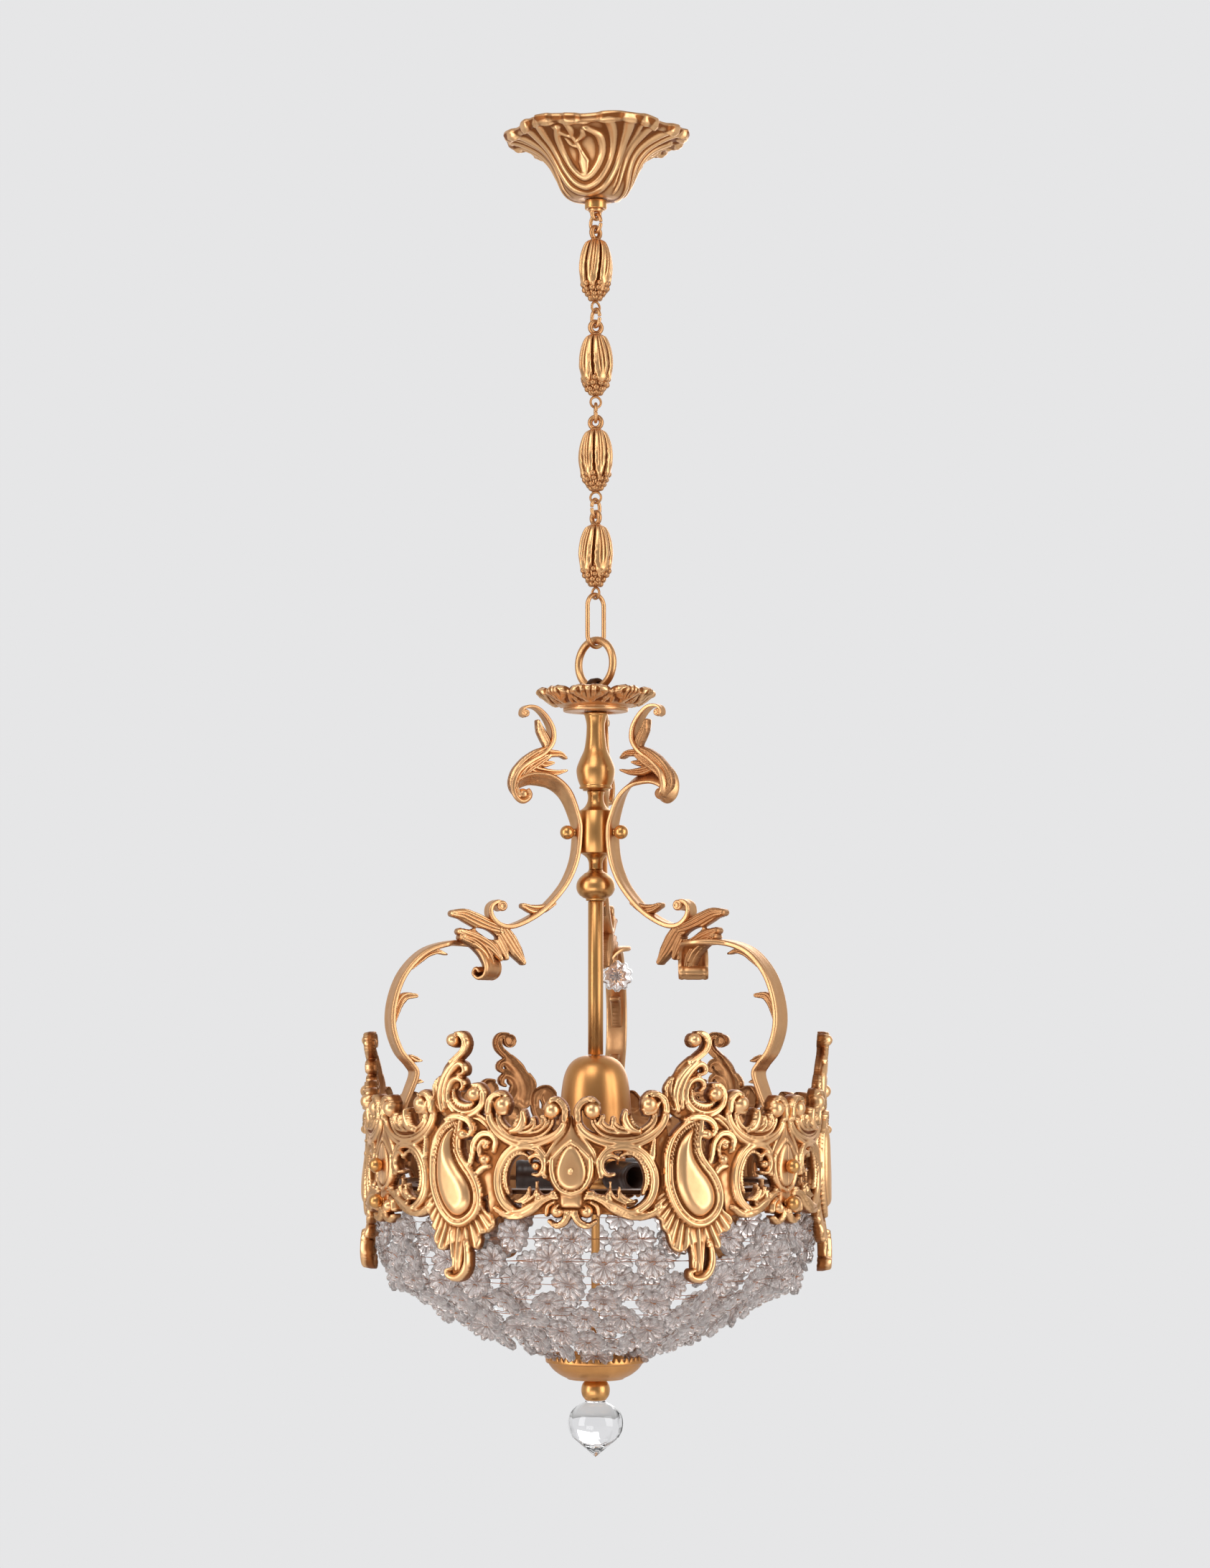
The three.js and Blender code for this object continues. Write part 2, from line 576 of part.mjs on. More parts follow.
const crownBack = footRadius + strapThick / 2 + gap;
const crownFace = crownBack + crownThick;
const bossRise = 2.6;
const crownHeadAt = crownFace + bossRise + gap + ballHead;
const crownTipAt = footRadius - strapThick / 2 - 1.5;
armAngles.forEach((angle, i) => {
  crownScrewHeights.forEach((height, j) => {
    const level = j === 0 ? 'upper' : 'lower';
    facing(add(`crown_screw_${level}_${i + 1}`, ballScrew(crownHeadAt, crownTipAt, height), polished), angle);
  });
});

// Crown: three cast thirds, each with bosses at its ends and middle and two cartouches.
// A half motif runs from a boss centre to a cartouche centre: [along, top, bottom], heights above the boss.

const crownPitch = THREE.MathUtils.degToRad(motifAngle) * crownFace;
const bossSide = [[0, 38, -34], [9, 48, -39], [17, 47, -38], [25, 35, -33], [33, 43, -34], [40, 41, -36],
  [48, 56, -39]];
const cartoucheSide = [[28, 54, -44], [17, 66, -54], [7, 83, -65], [0, 92, -79]]; // along: before the cartouche
const halfMotif = [...bossSide, ...cartoucheSide.map(([before, ...edges]) => [crownPitch / 2 - before, ...edges])]
  .map(([along, top, bottom]) => [along, bossLevel + top, bossLevel + bottom]);
const boss = { middle: bossLevel, radius: 20 };
const cartouche = { middle: bossLevel - 1, halfWidth: 21, halfHeight: 41, rise: 6 };
const piercing = { along: 40, height: bossLevel - 6, halfWidth: 8, halfHeight: 9.5, reach: 24, sides: 7 };
const scrollRise = 2.2;
const crownRows = 4;

const dome = (du, dz, halfWidth, halfHeight, rise) => {
  const inside = 1 - (du / halfWidth) ** 2 - (dz / halfHeight) ** 2;
  return inside > 0 ? rise * Math.sqrt(inside) : 0;
};

const crownRelief = (along, z, top, bottom) => {
  const fromBoss = Math.min(along, crownPitch - along);
  const { halfWidth, halfHeight, rise } = cartouche;
  const plain = dome(fromBoss, z - boss.middle, boss.radius, boss.radius, bossRise);
  const panel = dome(fromBoss - crownPitch / 2, z - cartouche.middle, halfWidth, halfHeight, rise);
  const scroll = scrollRise * Math.abs((2 * (z - bottom)) / (top - bottom) - 1);
  return Math.max(plain, panel, z === top || z === bottom ? 0 : scroll);
};

const crownColumns = () => {
  const rising = halfMotif.slice(0, -1);
  const falling = halfMotif.slice(1).reverse().map(([u, top, bottom]) => [crownPitch - u, top, bottom]);
  return [...rising, ...falling];
};

const crownSegment = (startAngle) => {
  const motif = crownColumns();
  const loops = [];
  const seam = gap / 2;
  const column = (u, along, top, bottom) => {
    const angle = startAngle + (u / crownPitch) * motifAngle;
    const front = Array.from({ length: crownRows + 1 }, (_, row) => {
      const z = row === crownRows ? bottom : THREE.MathUtils.lerp(top, bottom, row / crownRows);
      return polar(crownFace + crownRelief(along, z, top, bottom), angle, z);
    });
    return [...front, polar(crownBack, angle, bottom), polar(crownBack, angle, top)];
  };
  for (const motifStart of [0, crownPitch]) {
    for (const [u, top, bottom] of motif) {
      const along = motifStart + u;
      loops.push(column(along === 0 ? seam : along, u, top, bottom));
    }
  }
  const [, endTop, endBottom] = halfMotif[0];
  loops.push(column(2 * crownPitch - seam, 0, endTop, endBottom));
  const holes = [];
  const pierce = (u) => {
    const angle = startAngle + (u / crownPitch) * motifAngle;
    const { halfWidth, halfHeight, reach, sides } = piercing;
    const hole = new THREE.CylinderGeometry(1, 1, reach, sides).scale(halfHeight, 1, halfWidth);
    hole.rotateZ(Math.PI / 2).translate(crownFace, 0, piercing.height);
    return hole.rotateZ(THREE.MathUtils.degToRad(angle - 90));
  };
  for (const bossAt of [0, crownPitch, 2 * crownPitch]) {
    for (const side of [-1, 1]) {
      const u = bossAt + side * piercing.along;
      if (u > 0 && u < 2 * crownPitch) holes.push(pierce(u));
    }
  }
  for (const end of [startAngle, startAngle + 2 * motifAngle]) {
    for (const z of crownScrewHeights) {
      const turn = THREE.MathUtils.degToRad(end - 90);
      holes.push(barAlongX(screwHole, crownBack - 2, crownFace + bossRise + holeOverrun, z, 8).rotateZ(turn));
    }
  }
  return cut(skinned(loops), ...holes);
};
armAngles.forEach((angle, i) => add(`crown_segment_${i + 1}`, crownSegment(angle), gilt));

// Flat hoop inside the arm feet

const hoopOuter = footRadius - strapThick / 2 - gap;
const hoopInner = hoopOuter - hoop.width;
const hoopMiddle = bossLevel + hoop.rise;
const [hoopTop, hoopBottom] = [hoopMiddle + hoop.thick / 2, hoopMiddle - hoop.thick / 2];
const hoopLine = [[hoopInner, hoopTop], [hoopOuter, hoopTop], [hoopOuter, hoopBottom], [hoopInner, hoopBottom]];
add('inner_hoop', turned(hoopLine, 36, true), dark);

// Lamp cluster on the rod and three lamp holders that point outwards

const clusterTop = bellBottom - cluster.drop;
const clusterBottom = clusterTop - cluster.height;
const clusterLine = [[cluster.radius - 4, clusterTop], [cluster.radius, clusterTop - 4],
  [cluster.radius, clusterBottom + 6], [cluster.radius - 8, clusterBottom]];
add('lamp_cluster', bored(clusterLine, 18), gilt);

const lampHolder = () => {
  const { radius, length, socket, depth } = lamp;
  const line = [[0, 0], [radius * 0.6, 0], [radius, 5], [radius, length - 2], [radius - 1.5, length],
    [socket, length], [socket, length - depth], [0, length - depth]];
  return turned(line, 12).rotateY(Math.PI / 2);
};
lampAngles.forEach((angle, i) => {
  const mesh = facing(add(`lamp_holder_${i + 1}`, lampHolder(), dark), angle);
  mesh.position.set(...polar(cluster.radius + gap, angle, clusterTop - lamp.drop));
});

// Bowl: rows of eight-petalled glass flowers, each row on its own wire. A flower's core, foot and grip,
// which is where the wire leaves it, are shares of its radius.
// Its side runs from just behind the crown to just above the bottom plate.

const bowlRim = crownBack - flower.front - 2 * gap;
const bowlLine = [
  ...[[0, -48], [-3.2, -68], [-14.7, -86], [-39.2, -100], [-66.2, -116]]
    .map(([r, z]) => [bowlRim + r, bossLevel + z]),
  ...[[18.5, -129.3], [-0.5, -135.5]].map(([r, z]) => [plate.rim + r, bossLevel + z]),
];
const bowlPoints = bowlLine.map(([r, z]) => new THREE.Vector3(r, z, 0));
const bowlCurve = new THREE.CatmullRomCurve3(bowlPoints, false, 'centripetal');

// One row: flowers with a pointed front and a flat back, linked by three-sided wires.
const flowerRowGeometry = (row, [share, count, layer]) => {
  const middle = bowlCurve.getPointAt(share);
  const along = bowlCurve.getTangentAt(share);
  const out = new THREE.Vector2(-along.y, along.x);
  const points = [];
  const index = [];
  const tips = 6; // petal tips besides the two that carry the wire
  const perFlower = 1 + tips + 2 * 3;
  for (let i = 0; i < count; i += 1) {
    const angle = (360 * (i + (row % 2) / 2)) / count;
    const place = (side, up, n) => {
      const r = middle.x + out.x * (n + layer) - along.x * up;
      const z = middle.y + out.y * (n + layer) - along.y * up;
      const [x, y] = polar(r, angle, z);
      const turn = THREE.MathUtils.degToRad(angle);
      return [x + side * Math.cos(turn), y + side * Math.sin(turn), z];
    };
    const base = points.length;
    points.push(place(0, 0, flower.front));
    for (const step of [1, 2, 3, 5, 6, 7]) {
      const turn = (step * Math.PI) / 4;
      points.push(place(flower.radius * Math.cos(turn), flower.radius * Math.sin(turn), -flower.back));
    }
    for (const side of [1, -1]) {
      const edge = side * flower.radius * flower.grip;
      points.push(place(edge, 0, -flower.back + 2 * flower.wire));
      points.push(place(edge, flower.wire, -flower.back));
      points.push(place(edge, -flower.wire, -flower.back));
    }
    const tip = [1, 2, 3, 4, 5, 6].map((k) => base + k);
    const [right, left] = [base + 7, base + 10];
    const rim = [right, tip[0], tip[1], tip[2], left, tip[3], tip[4], tip[5]];
    rim.forEach((corner, k) => index.push(base, corner, rim[(k + 1) % rim.length]));
    index.push(right, right + 1, tip[0], left, tip[2], left + 1, left, left + 2, tip[3], right, tip[5], right + 2);
    const back = [right + 1, tip[0], tip[1], tip[2], left + 1, left + 2, tip[3], tip[4], tip[5], right + 2];
    for (let k = 1; k < back.length - 1; k += 1) index.push(back[0], back[k + 1], back[k]);
    const next = ((i + 1) % count) * perFlower + 10;
    for (let k = 0; k < 3; k += 1) {
      const m = (k + 1) % 3;
      index.push(right + k, next + k, next + m, right + k, next + m, right + m);
    }
  }
  const geometry = new THREE.BufferGeometry();
  geometry.setAttribute('position', new THREE.Float32BufferAttribute(points.flat(), 3));
  geometry.setIndex(index);
  return geometry;
};
flowerRows.forEach((place, row) => add(`flower_row_${row + 1}`, flowerRowGeometry(row, place), clear));

// Loose wired flower on the rear arm's scroll

const looseFlower = () => {
  const rim = Array.from({ length: flower.petals }, (_, i) => {
    const turn = (2 * Math.PI * i) / flower.petals;
    return [flower.radius * Math.cos(turn), 0, flower.radius * Math.sin(turn)];
  });
  const ring = (size, depth) => rim.map(([x, , z]) => [x * size, depth, z * size]);
  return skinned([ring(flower.core, -flower.front), ring(1, 0), ring(flower.foot, flower.back)]);
};
const looseFlowerAt = [9, strapAtHub + 56.1, hubMiddle - 104];
add('arm_flower', looseFlower(), clear).position.set(...looseFlowerAt);

// Bottom plate with teeth for the wires, ball and glass finial, and the rod that holds them all

const bowlEnd = bowlLine[bowlLine.length - 1][1];
const plateRim = bowlEnd - plate.below;
const plateBottom = plateRim - plate.height;
const plateColumns = 2 * tooth.count;
const plateLoop = (radius, z, rise = 0) => Array.from({ length: plateColumns }, (_, i) => {
  const turn = (2 * Math.PI * i) / plateColumns;
  return [radius * Math.cos(turn), radius * Math.sin(turn), z + (i % 2 ? rise : 0)];
});
add('bottom_plate', skinned([
  plateLoop(boreRadius, plateBottom),
  plateLoop(plate.foot, plateBottom),
  plateLoop(plate.rim - 4, plateRim - 6),
  plateLoop(plate.rim, plateRim, tooth.height),
  plateLoop(plate.rim - tooth.thick, plateRim, tooth.height),
  plateLoop(plate.rim - 5, plateRim - 4),
  plateLoop(boreRadius, plateBottom + plate.floor),
], true), gilt);

const rodTop = studBase - gap;
const rodBottom = plateBottom - finialBall.socket;
add('centre_rod', turned([[0, rodTop], [rodRadius, rodTop], [rodRadius, rodBottom], [0, rodBottom]], 12), steel);

const ballTop = plateBottom - gap;
const ballBottom = ballTop - finialBall.height;
const ballMiddle = (ballTop + ballBottom) / 2;
const ballSocket = rodBottom - 1;
const ballEnd = 6.4;
const ballLine = [[0, ballSocket], [boreRadius, ballSocket], [boreRadius, ballTop], [ballEnd, ballTop],
  [finialBall.radius - 1, ballMiddle + 4], [finialBall.radius, ballMiddle], [finialBall.radius - 1, ballMiddle - 4],
  [ballEnd, ballBottom], [0, ballBottom]];
add('finial_ball', turned(ballLine, 16), polished);

const glassTop = ballBottom - gap;
const fluteDepth = 0.6;
const glassLine = [[glass.neck, 0], [17, 5.7], [glass.belly, glass.bellyDrop], [18.6, 23.7], [13, 30.7]];
const glassFinial = () => {
  const columns = 2 * glass.flutes;
  const loops = below(glassLine, glassTop).map(([radius, z], row) => Array.from({ length: columns }, (_, i) => {
    const turn = (2 * Math.PI * i) / columns;
    const r = radius - (i % 2 && row > 0 ? fluteDepth : 0);
    return [r * Math.cos(turn), r * Math.sin(turn), z];
  }));
  const tip = Array.from({ length: columns }, () => [0, 0, glassTop - glass.height]);
  return skinned([...loops, tip]);
};
add('glass_finial', glassFinial(), clear);

export default chandelier;
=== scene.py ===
import json
import math
import bpy
import numpy as np
from mathutils import Matrix, Vector

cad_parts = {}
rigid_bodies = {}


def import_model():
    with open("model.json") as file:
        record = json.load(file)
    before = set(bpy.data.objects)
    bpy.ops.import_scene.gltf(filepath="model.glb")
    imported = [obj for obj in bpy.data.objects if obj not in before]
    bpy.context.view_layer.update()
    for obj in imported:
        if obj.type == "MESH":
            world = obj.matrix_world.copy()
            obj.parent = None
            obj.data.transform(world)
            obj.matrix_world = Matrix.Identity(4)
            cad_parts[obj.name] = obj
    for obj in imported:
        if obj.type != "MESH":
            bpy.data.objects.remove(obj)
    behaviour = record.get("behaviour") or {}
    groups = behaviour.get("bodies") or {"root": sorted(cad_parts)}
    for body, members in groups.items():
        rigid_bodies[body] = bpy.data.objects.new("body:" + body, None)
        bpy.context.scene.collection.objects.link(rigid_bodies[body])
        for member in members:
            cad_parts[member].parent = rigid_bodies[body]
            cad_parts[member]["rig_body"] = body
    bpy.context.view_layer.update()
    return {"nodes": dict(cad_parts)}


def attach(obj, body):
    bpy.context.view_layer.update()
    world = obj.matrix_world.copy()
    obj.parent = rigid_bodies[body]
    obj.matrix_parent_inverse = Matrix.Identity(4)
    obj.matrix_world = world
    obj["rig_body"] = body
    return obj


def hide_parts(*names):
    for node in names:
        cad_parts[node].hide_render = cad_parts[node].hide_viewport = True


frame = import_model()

# The clearance between neighbouring pieces, in millimetres.
gap = 0.3


# The room: a pale floor well below the hanging chandelier, and plain soft studio light.
# The camera stands 2.65 m from the stem, level with the bell's top, and looks up by four degrees.

camera_turn, camera_tilt = 5.7, 4.16
camera_place = (0.0069, -2.645, -0.681)
# The camera's focal length and the photograph's height, both in its pixels.
focal_length, picture_height = 5000, 2184
room_turn = Matrix.Rotation(math.radians(camera_turn), 4, "Z")

camera_lens = bpy.data.cameras.new("camera")
camera_lens.sensor_fit = "VERTICAL"
camera_lens.sensor_height = 24
camera_lens.lens = 24 * focal_length / picture_height
camera_lens.clip_start = 0.05
camera_lens.clip_end = 60
camera = bpy.data.objects.new("camera", camera_lens)
camera.location = room_turn @ Vector(camera_place)
camera.rotation_euler = (math.radians(90 + camera_tilt), 0, math.radians(camera_turn))
bpy.context.scene.collection.objects.link(camera)
bpy.context.scene.camera = camera
bpy.context.scene.view_settings.view_transform = "Standard"


class Socket:
    """One output in a finish's node tree. Arithmetic on it adds the Math nodes it stands for."""

    def __init__(self, tree, output=None):
        self.tree = tree
        self.output = output

    def node(self, kind, settings=(), values=(), output=0):
        """Adds a node of a type, with its settings, then its sockets' values or links; returns one output."""
        made = self.tree.nodes.new(kind)
        for name, setting in dict(settings).items():
            setattr(made, name, setting)
        for name, value in dict(values).items():
            if isinstance(value, Socket):
                self.tree.links.new(value.output, made.inputs[name])
            else:
                made.inputs[name].default_value = value
        return Socket(self.tree, made.outputs[output])

    def math(self, operation, *terms):
        return self.node("ShaderNodeMath", {"operation": operation}, enumerate(terms))

    def __add__(self, other):
        return self.math("ADD", self, other)

    def __sub__(self, other):
        return self.math("SUBTRACT", self, other)

    def __rsub__(self, other):
        return self.math("SUBTRACT", other, self)

    def __mul__(self, other):
        return self.math("MULTIPLY", self, other)

    __radd__ = __add__
    __rmul__ = __mul__

    def held(self):
        """The value kept between 0 and 1."""
        return self.math("MINIMUM", self.math("MAXIMUM", self, 0), 1)

    def blend(self, first, second):
        """A colour between two, by this value."""
        values = {0: self, 6: first, 7: second}
        return self.node("ShaderNodeMix", {"data_type": "RGBA"}, values, 2)

    def noise(self, place, scale, detail, roughness=0.5):
        """Cloudy noise from 0 to 1, at a number of clouds to the metre."""
        values = {"Vector": place, "Scale": scale, "Detail": detail, "Roughness": roughness}
        return self.node("ShaderNodeTexNoise", values=values)

    def bump(self, height, strength, depth):
        """A normal that follows a height from 0 to 1, over a depth in metres."""
        return self.node("ShaderNodeBump", values={"Height": height, "Strength": strength, "Distance": depth})

    def painted_shade(self):
        """The piece's painted shade: how deep each point lies in its carving, or how near a glass flower's
        seam, and below 0 on raised parts.
        """
        return self.node("ShaderNodeAttribute", {"attribute_name": "painted_shade"}, output="Fac")

    def feed(self, shader, socket):
        self.tree.links.new(self.output, shader.inputs[socket])


def colour(red, green, blue):
    """An 8-bit display colour as Blender's linear one."""
    shares = np.array([red, green, blue]) / 255
    linear = np.where(shares > 0.04045, ((shares + 0.055) / 1.055) ** 2.4, shares / 12.92)
    return (*linear.tolist(), 1)


def new_finish(name):
    """A material, its shader, a start for its nodes, and the place of each point on its object."""
    finish = bpy.data.materials.new(name)
    finish.use_nodes = True
    start = Socket(finish.node_tree)
    place = start.node("ShaderNodeTexCoord", output="Object")
    return finish, finish.node_tree.nodes["Principled BSDF"], start, place


world = bpy.data.worlds.new("studio")
world.use_nodes = True
bpy.context.scene.world = world
sky = Socket(world.node_tree)
background = world.node_tree.nodes["Background"]
heading = sky.node("ShaderNodeTexCoord", output="Generated")
toward_back = sky.node("ShaderNodeVectorMath", {"operation": "DOT_PRODUCT"},
                       {0: heading, 1: room_turn @ Vector((0, 1, 0))}, "Value")
room_glow = (toward_back * 0.55 + 0.35).held()
room_tone = room_glow.blend(colour(96, 92, 88), colour(236, 236, 236))
ray = "ShaderNodeLightPath"
seen = (sky.node(ray, output="Is Camera Ray") + sky.node(ray, output="Is Transmission Ray")
        + sky.node(ray, output="Is Glossy Ray") * 0.3).held()
backdrop = colour(230, 230, 231)
seen.blend(room_tone, backdrop).feed(background, "Color")


def softbox(name, side, height, distance, width, tall, power):
    """A lamp panel at a front angle from the camera's side, turned to the chandelier's middle."""
    panel = bpy.data.lights.new(name, "AREA")
    panel.shape = "RECTANGLE"
    panel.size = width
    panel.size_y = tall
    panel.energy = power
    lamp = bpy.data.objects.new(name, panel)
    turn = math.radians(side + camera_turn)
    lamp.location = (distance * math.sin(turn), -distance * math.cos(turn), height)
    aim = Vector((0, 0, -0.55)) - lamp.location
    lamp.rotation_euler = aim.to_track_quat("-Z", "Y").to_euler()
    bpy.context.scene.collection.objects.link(lamp)


softbox("softbox_right", 58, -0.3, 2.2, 1.3, 2.4, 30)
softbox("softbox_left", -60, -0.3, 2.2, 0.8, 2.4, 24)
softbox("softbox_high", -20, 1.4, 1.9, 1.4, 1.4, 20)
softbox("softbox_low", -24, -1.55, 1.7, 1.4, 0.7, 9)
softbox("softbox_rear", 165, 0.2, 2.4, 1.6, 1.6, 16)

floor_mesh = bpy.data.meshes.new("floor")
floor_half, floor_level = 3, -1.7
floor_corners = ((-1, -1), (1, -1), (1, 1), (-1, 1))
floor_mesh.from_pydata([(x * floor_half, y * floor_half, floor_level) for x, y in floor_corners], [],
                       [(0, 1, 2, 3)])
floor = bpy.data.objects.new("floor", floor_mesh)
bpy.context.scene.collection.objects.link(floor)
floor_paint = bpy.data.materials.new("floor_paint")
floor_paint.use_nodes = True
floor_shader = floor_paint.node_tree.nodes["Principled BSDF"]
speckle = Socket(floor_paint.node_tree).node("ShaderNodeTexNoise", values={"Scale": 6.0, "Detail": 3.0})
speckle.blend(colour(228, 228, 228), colour(233, 233, 233)).feed(floor_shader, "Base Color")
floor_shader.inputs["Roughness"].default_value = 0.9
floor_mesh.materials.append(floor_paint)


# Ceiling fixing: a bar stamped from steel sheet, slotted for its screws, and a hexagonal nut that holds the
# stud. Both are zinc-plated and keep their CAD shapes, because the canopy hides them.


def weld(points, faces):
    """Points that fall together become one, and faces lose the corners that this empties."""
    keys = np.round(np.asarray(points) * 2000).astype(np.int64)
    _, first, spot = np.unique(keys, axis=0, return_index=True, return_inverse=True)
    faces = spot.reshape(-1)[faces]
    repeats = faces == np.roll(faces, -1, axis=1)
    whole = faces[~repeats.any(axis=1)]
    folded = faces[repeats.sum(axis=1) == 1]
    kept = ~repeats[repeats.sum(axis=1) == 1]
    return np.asarray(points)[first], whole, folded[kept].reshape(-1, 3), first


def grid_faces(rows, columns):
    """The four corners of every cell of a grid of rows and columns."""
    row, column = np.meshgrid(np.arange(rows - 1), np.arange(columns - 1), indexing="ij")
    corner = (row * columns + column).ravel()
    return np.column_stack([corner, corner + 1, corner + columns + 1, corner + columns])


def volume(points, faces):
    """Six times the volume inside the faces, positive where they point outwards."""
    a, b, c, d = (points[faces[:, k]] for k in range(4))
    return np.sum(a * np.cross(b, c)) + np.sum(a * np.cross(c, d))


def surface(grid):
    """A grid of points (rows, columns, 3), closed by its own layout, as points and outward faces."""
    rows, columns, _ = grid.shape
    points, faces = grid.reshape(-1, 3), grid_faces(rows, columns)
    middle = points.mean(axis=0)
    return points, faces if volume(points - middle, faces) > 0 else faces[:, ::-1]


def tube(loops):
    """A row of equal closed loops of points (loops, sides, 3), skinned and shut at both ends."""
    loops = np.asarray(loops, float)
    ends = [np.repeat(loop.mean(axis=0)[None], len(loop), axis=0) for loop in (loops[0], loops[-1])]
    loops = np.concatenate([ends[0][None], loops, ends[1][None]])
    return surface(np.concatenate([loops, loops[:, :1]], axis=1))


def together(*parts):
    """Several (points, faces) as one pair."""
    offsets = np.cumsum([0] + [len(points) for points, _ in parts[:-1]])
    faces = np.concatenate([faces + offset for (_, faces), offset in zip(parts, offsets)])
    return np.concatenate([points for points, _ in parts]), faces


def piece(name, shape, finish, slot, *nodes, painted_shade=None, flat_angle=None):
    """Makes a piece from millimetre points and faces; it stands for CAD nodes and rides on their body."""
    points, whole, folded, first = weld(*shape)
    mesh = bpy.data.meshes.new(name)
    mesh.from_pydata((points / 1000).tolist(), [], whole.tolist() + folded.tolist())
    mesh.polygons.foreach_set("use_smooth", np.ones(len(mesh.polygons), bool))
    if flat_angle:
        mesh.set_sharp_from_angle(angle=math.radians(flat_angle))
    if painted_shade is not None:
        # Painted shade, darker in hollows and lighter on raised parts, is kept on each point.
        mesh.attributes.new("painted_shade", "FLOAT", "POINT").data.foreach_set("value", painted_shade[first])
    mesh.materials.append(finish)
    made = bpy.data.objects.new(name, mesh)
    bpy.context.scene.collection.objects.link(made)
    if nodes:
        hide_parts(*nodes)
    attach(made, frame["nodes"][nodes[0]]["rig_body"] if nodes else "chandelier")
    return made


def revolved(radius, level, turn):
    """The closed surface of a radius and a level that are given over the turn about the upright axis."""
    grid = np.stack([radius * np.cos(turn), radius * np.sin(turn), level + 0 * turn], axis=-1)
    grid[:, -1] = grid[:, 0]
    return surface(grid)


def turned(profile, columns=96):
    """A line of [radius, height] points turned about the upright axis, closed where it meets the axis."""
    profile = np.asarray(profile, float)
    return revolved(profile[:, :1], profile[:, 1:], np.linspace(0, 2 * np.pi, columns + 1))


def ring_turned(profile, columns=96):
    """A closed outline of [radius, height] points turned about the upright axis, such as a washer."""
    return turned(np.vstack([profile, profile[:1]]), columns)


def rounded(corners, radius=0.4, steps=4):
    """An outline with each corner replaced by an arc-like curve: the quadratic through its two cut points."""
    corners = np.asarray(corners, float)
    ahead = np.roll(corners, -1, axis=0) - corners
    behind = np.roll(corners, 1, axis=0) - corners
    reach = [np.minimum(radius, 0.45 * np.linalg.norm(side, axis=1))[:, None] for side in (behind, ahead)]
    starts = corners + behind / np.linalg.norm(behind, axis=1)[:, None] * reach[0]
    ends = corners + ahead / np.linalg.norm(ahead, axis=1)[:, None] * reach[1]
    share = np.linspace(0, 1, steps + 1)[None, :, None]
    curves = ((1 - share) ** 2 * starts[:, None] + 2 * share * (1 - share) * corners[:, None]
              + share ** 2 * ends[:, None])
    return curves.reshape(-1, 2)


def metal(name, light, deep, rough, grain=0.00004, mottle=0.2, streak=1, painted_shade=0):
    """Cast or turned metal: cloudy tone with tarnish, fine casting grain and soft scratches; where a piece
    carries painted shade, its hollows are painted darker and its raised parts lighter.
    """
    finish, shader, start, place = new_finish(name)
    stretched = start.node("ShaderNodeMapping", values={"Vector": place, "Scale": (1, 1, streak)})
    cloud = start.noise(place, 42.0, 5.0, 0.6)
    patch = start.noise(stretched, 230.0, 4.0)
    pores = start.noise(stretched, 1500.0, 3.0)
    # Painted shade from the piece's attribute darkens the hollows and lightens raised parts, on top of the
    # cloudy tarnish.
    tarnish_and_shade = (cloud - 0.5) * (2.2 * mottle) + (patch - 0.5) * (1.1 * mottle) + 0.3 + start.painted_shade() * painted_shade
    tarnish_and_shade = tarnish_and_shade.held()
    tarnish_and_shade.blend(light, deep).feed(shader, "Base Color")
    (tarnish_and_shade * 0.16 + (patch - 0.5) * 0.12 + (rough - 0.05)).held().feed(shader, "Roughness")
    start.bump(pores + patch * 0.6, 0.6, grain).feed(shader, "Normal")
    shader.inputs["Metallic"].default_value = 1
    return finish


steel = metal("zinc_plated_steel", colour(176, 176, 170), colour(128, 124, 116), 0.36, 0.00008, 0.5)

for hidden in ("ceiling_crossbar", "lock_nut"):
    part = frame["nodes"][hidden]
    part.data.materials.clear()
    part.data.materials.append(steel)


# Canopy stud: a turned gilt bronze bolt with an eye at its end, on which the whole chain hangs.
# It runs through the canopy from the ceiling bar, and the collar covers its hole.


def wire(line, radius, sides=12, loop=False, across=(0, 1, 0)):
    """Round wire along a plane curve of points: each section is a circle between the curve's own
    sideways direction and the plane's normal."""
    line = np.asarray(line, float)
    if loop:
        line = np.vstack([line[-1], line, line[:2]])
    along = np.gradient(line, axis=0)
    along /= np.linalg.norm(along, axis=1)[:, None]
    normal = np.asarray(across, float)
    side = np.cross(along, normal)
    turn = np.linspace(0, 2 * np.pi, sides, endpoint=False)
    reach = np.broadcast_to(np.asarray(radius, float), (len(line),))[:, None, None]
    ring = side[:, None] * np.cos(turn)[:, None] + normal * np.sin(turn)[:, None]
    sections = line[:, None] + reach * ring
    if not loop:
        return tube(sections)
    sections = sections[1:-1]
    return surface(np.concatenate([sections, sections[:, :1]], axis=1))


def circle(radius, steps=48, centre=0.0):
    """Points of a circle that stands in the plane of X and Z."""
    turn = np.linspace(0, 2 * np.pi, steps, endpoint=False)
    return np.column_stack([radius * np.sin(turn), 0 * turn, centre + radius * np.cos(turn)])


def at_front(shape, front_angle):
    """Turns a shape made along +X so that it points to a front angle, counted from -Y towards +X."""
    points, faces = shape
    turn = math.radians(front_angle - 90)
    cos, sin = math.cos(turn), math.sin(turn)
    return points @ np.array([[cos, sin, 0], [-sin, cos, 0], [0, 0, 1]]), faces


chain_gilt = metal("chain_gilt", colour(234, 182, 128), colour(132, 78, 40), 0.38, painted_shade=1.7)
polished_gilt = metal("polished_gilt", colour(228, 172, 108), colour(146, 92, 46), 0.32, 0.00002, 0.14, 0.15)
neck_bottom = -60.2
stud_bar = neck_bottom - 5.1
ring_angles = (50.7, 38.2, 8.2, -26.8)
link_angles = (50.7, 25.7, -9.3, -44.3)

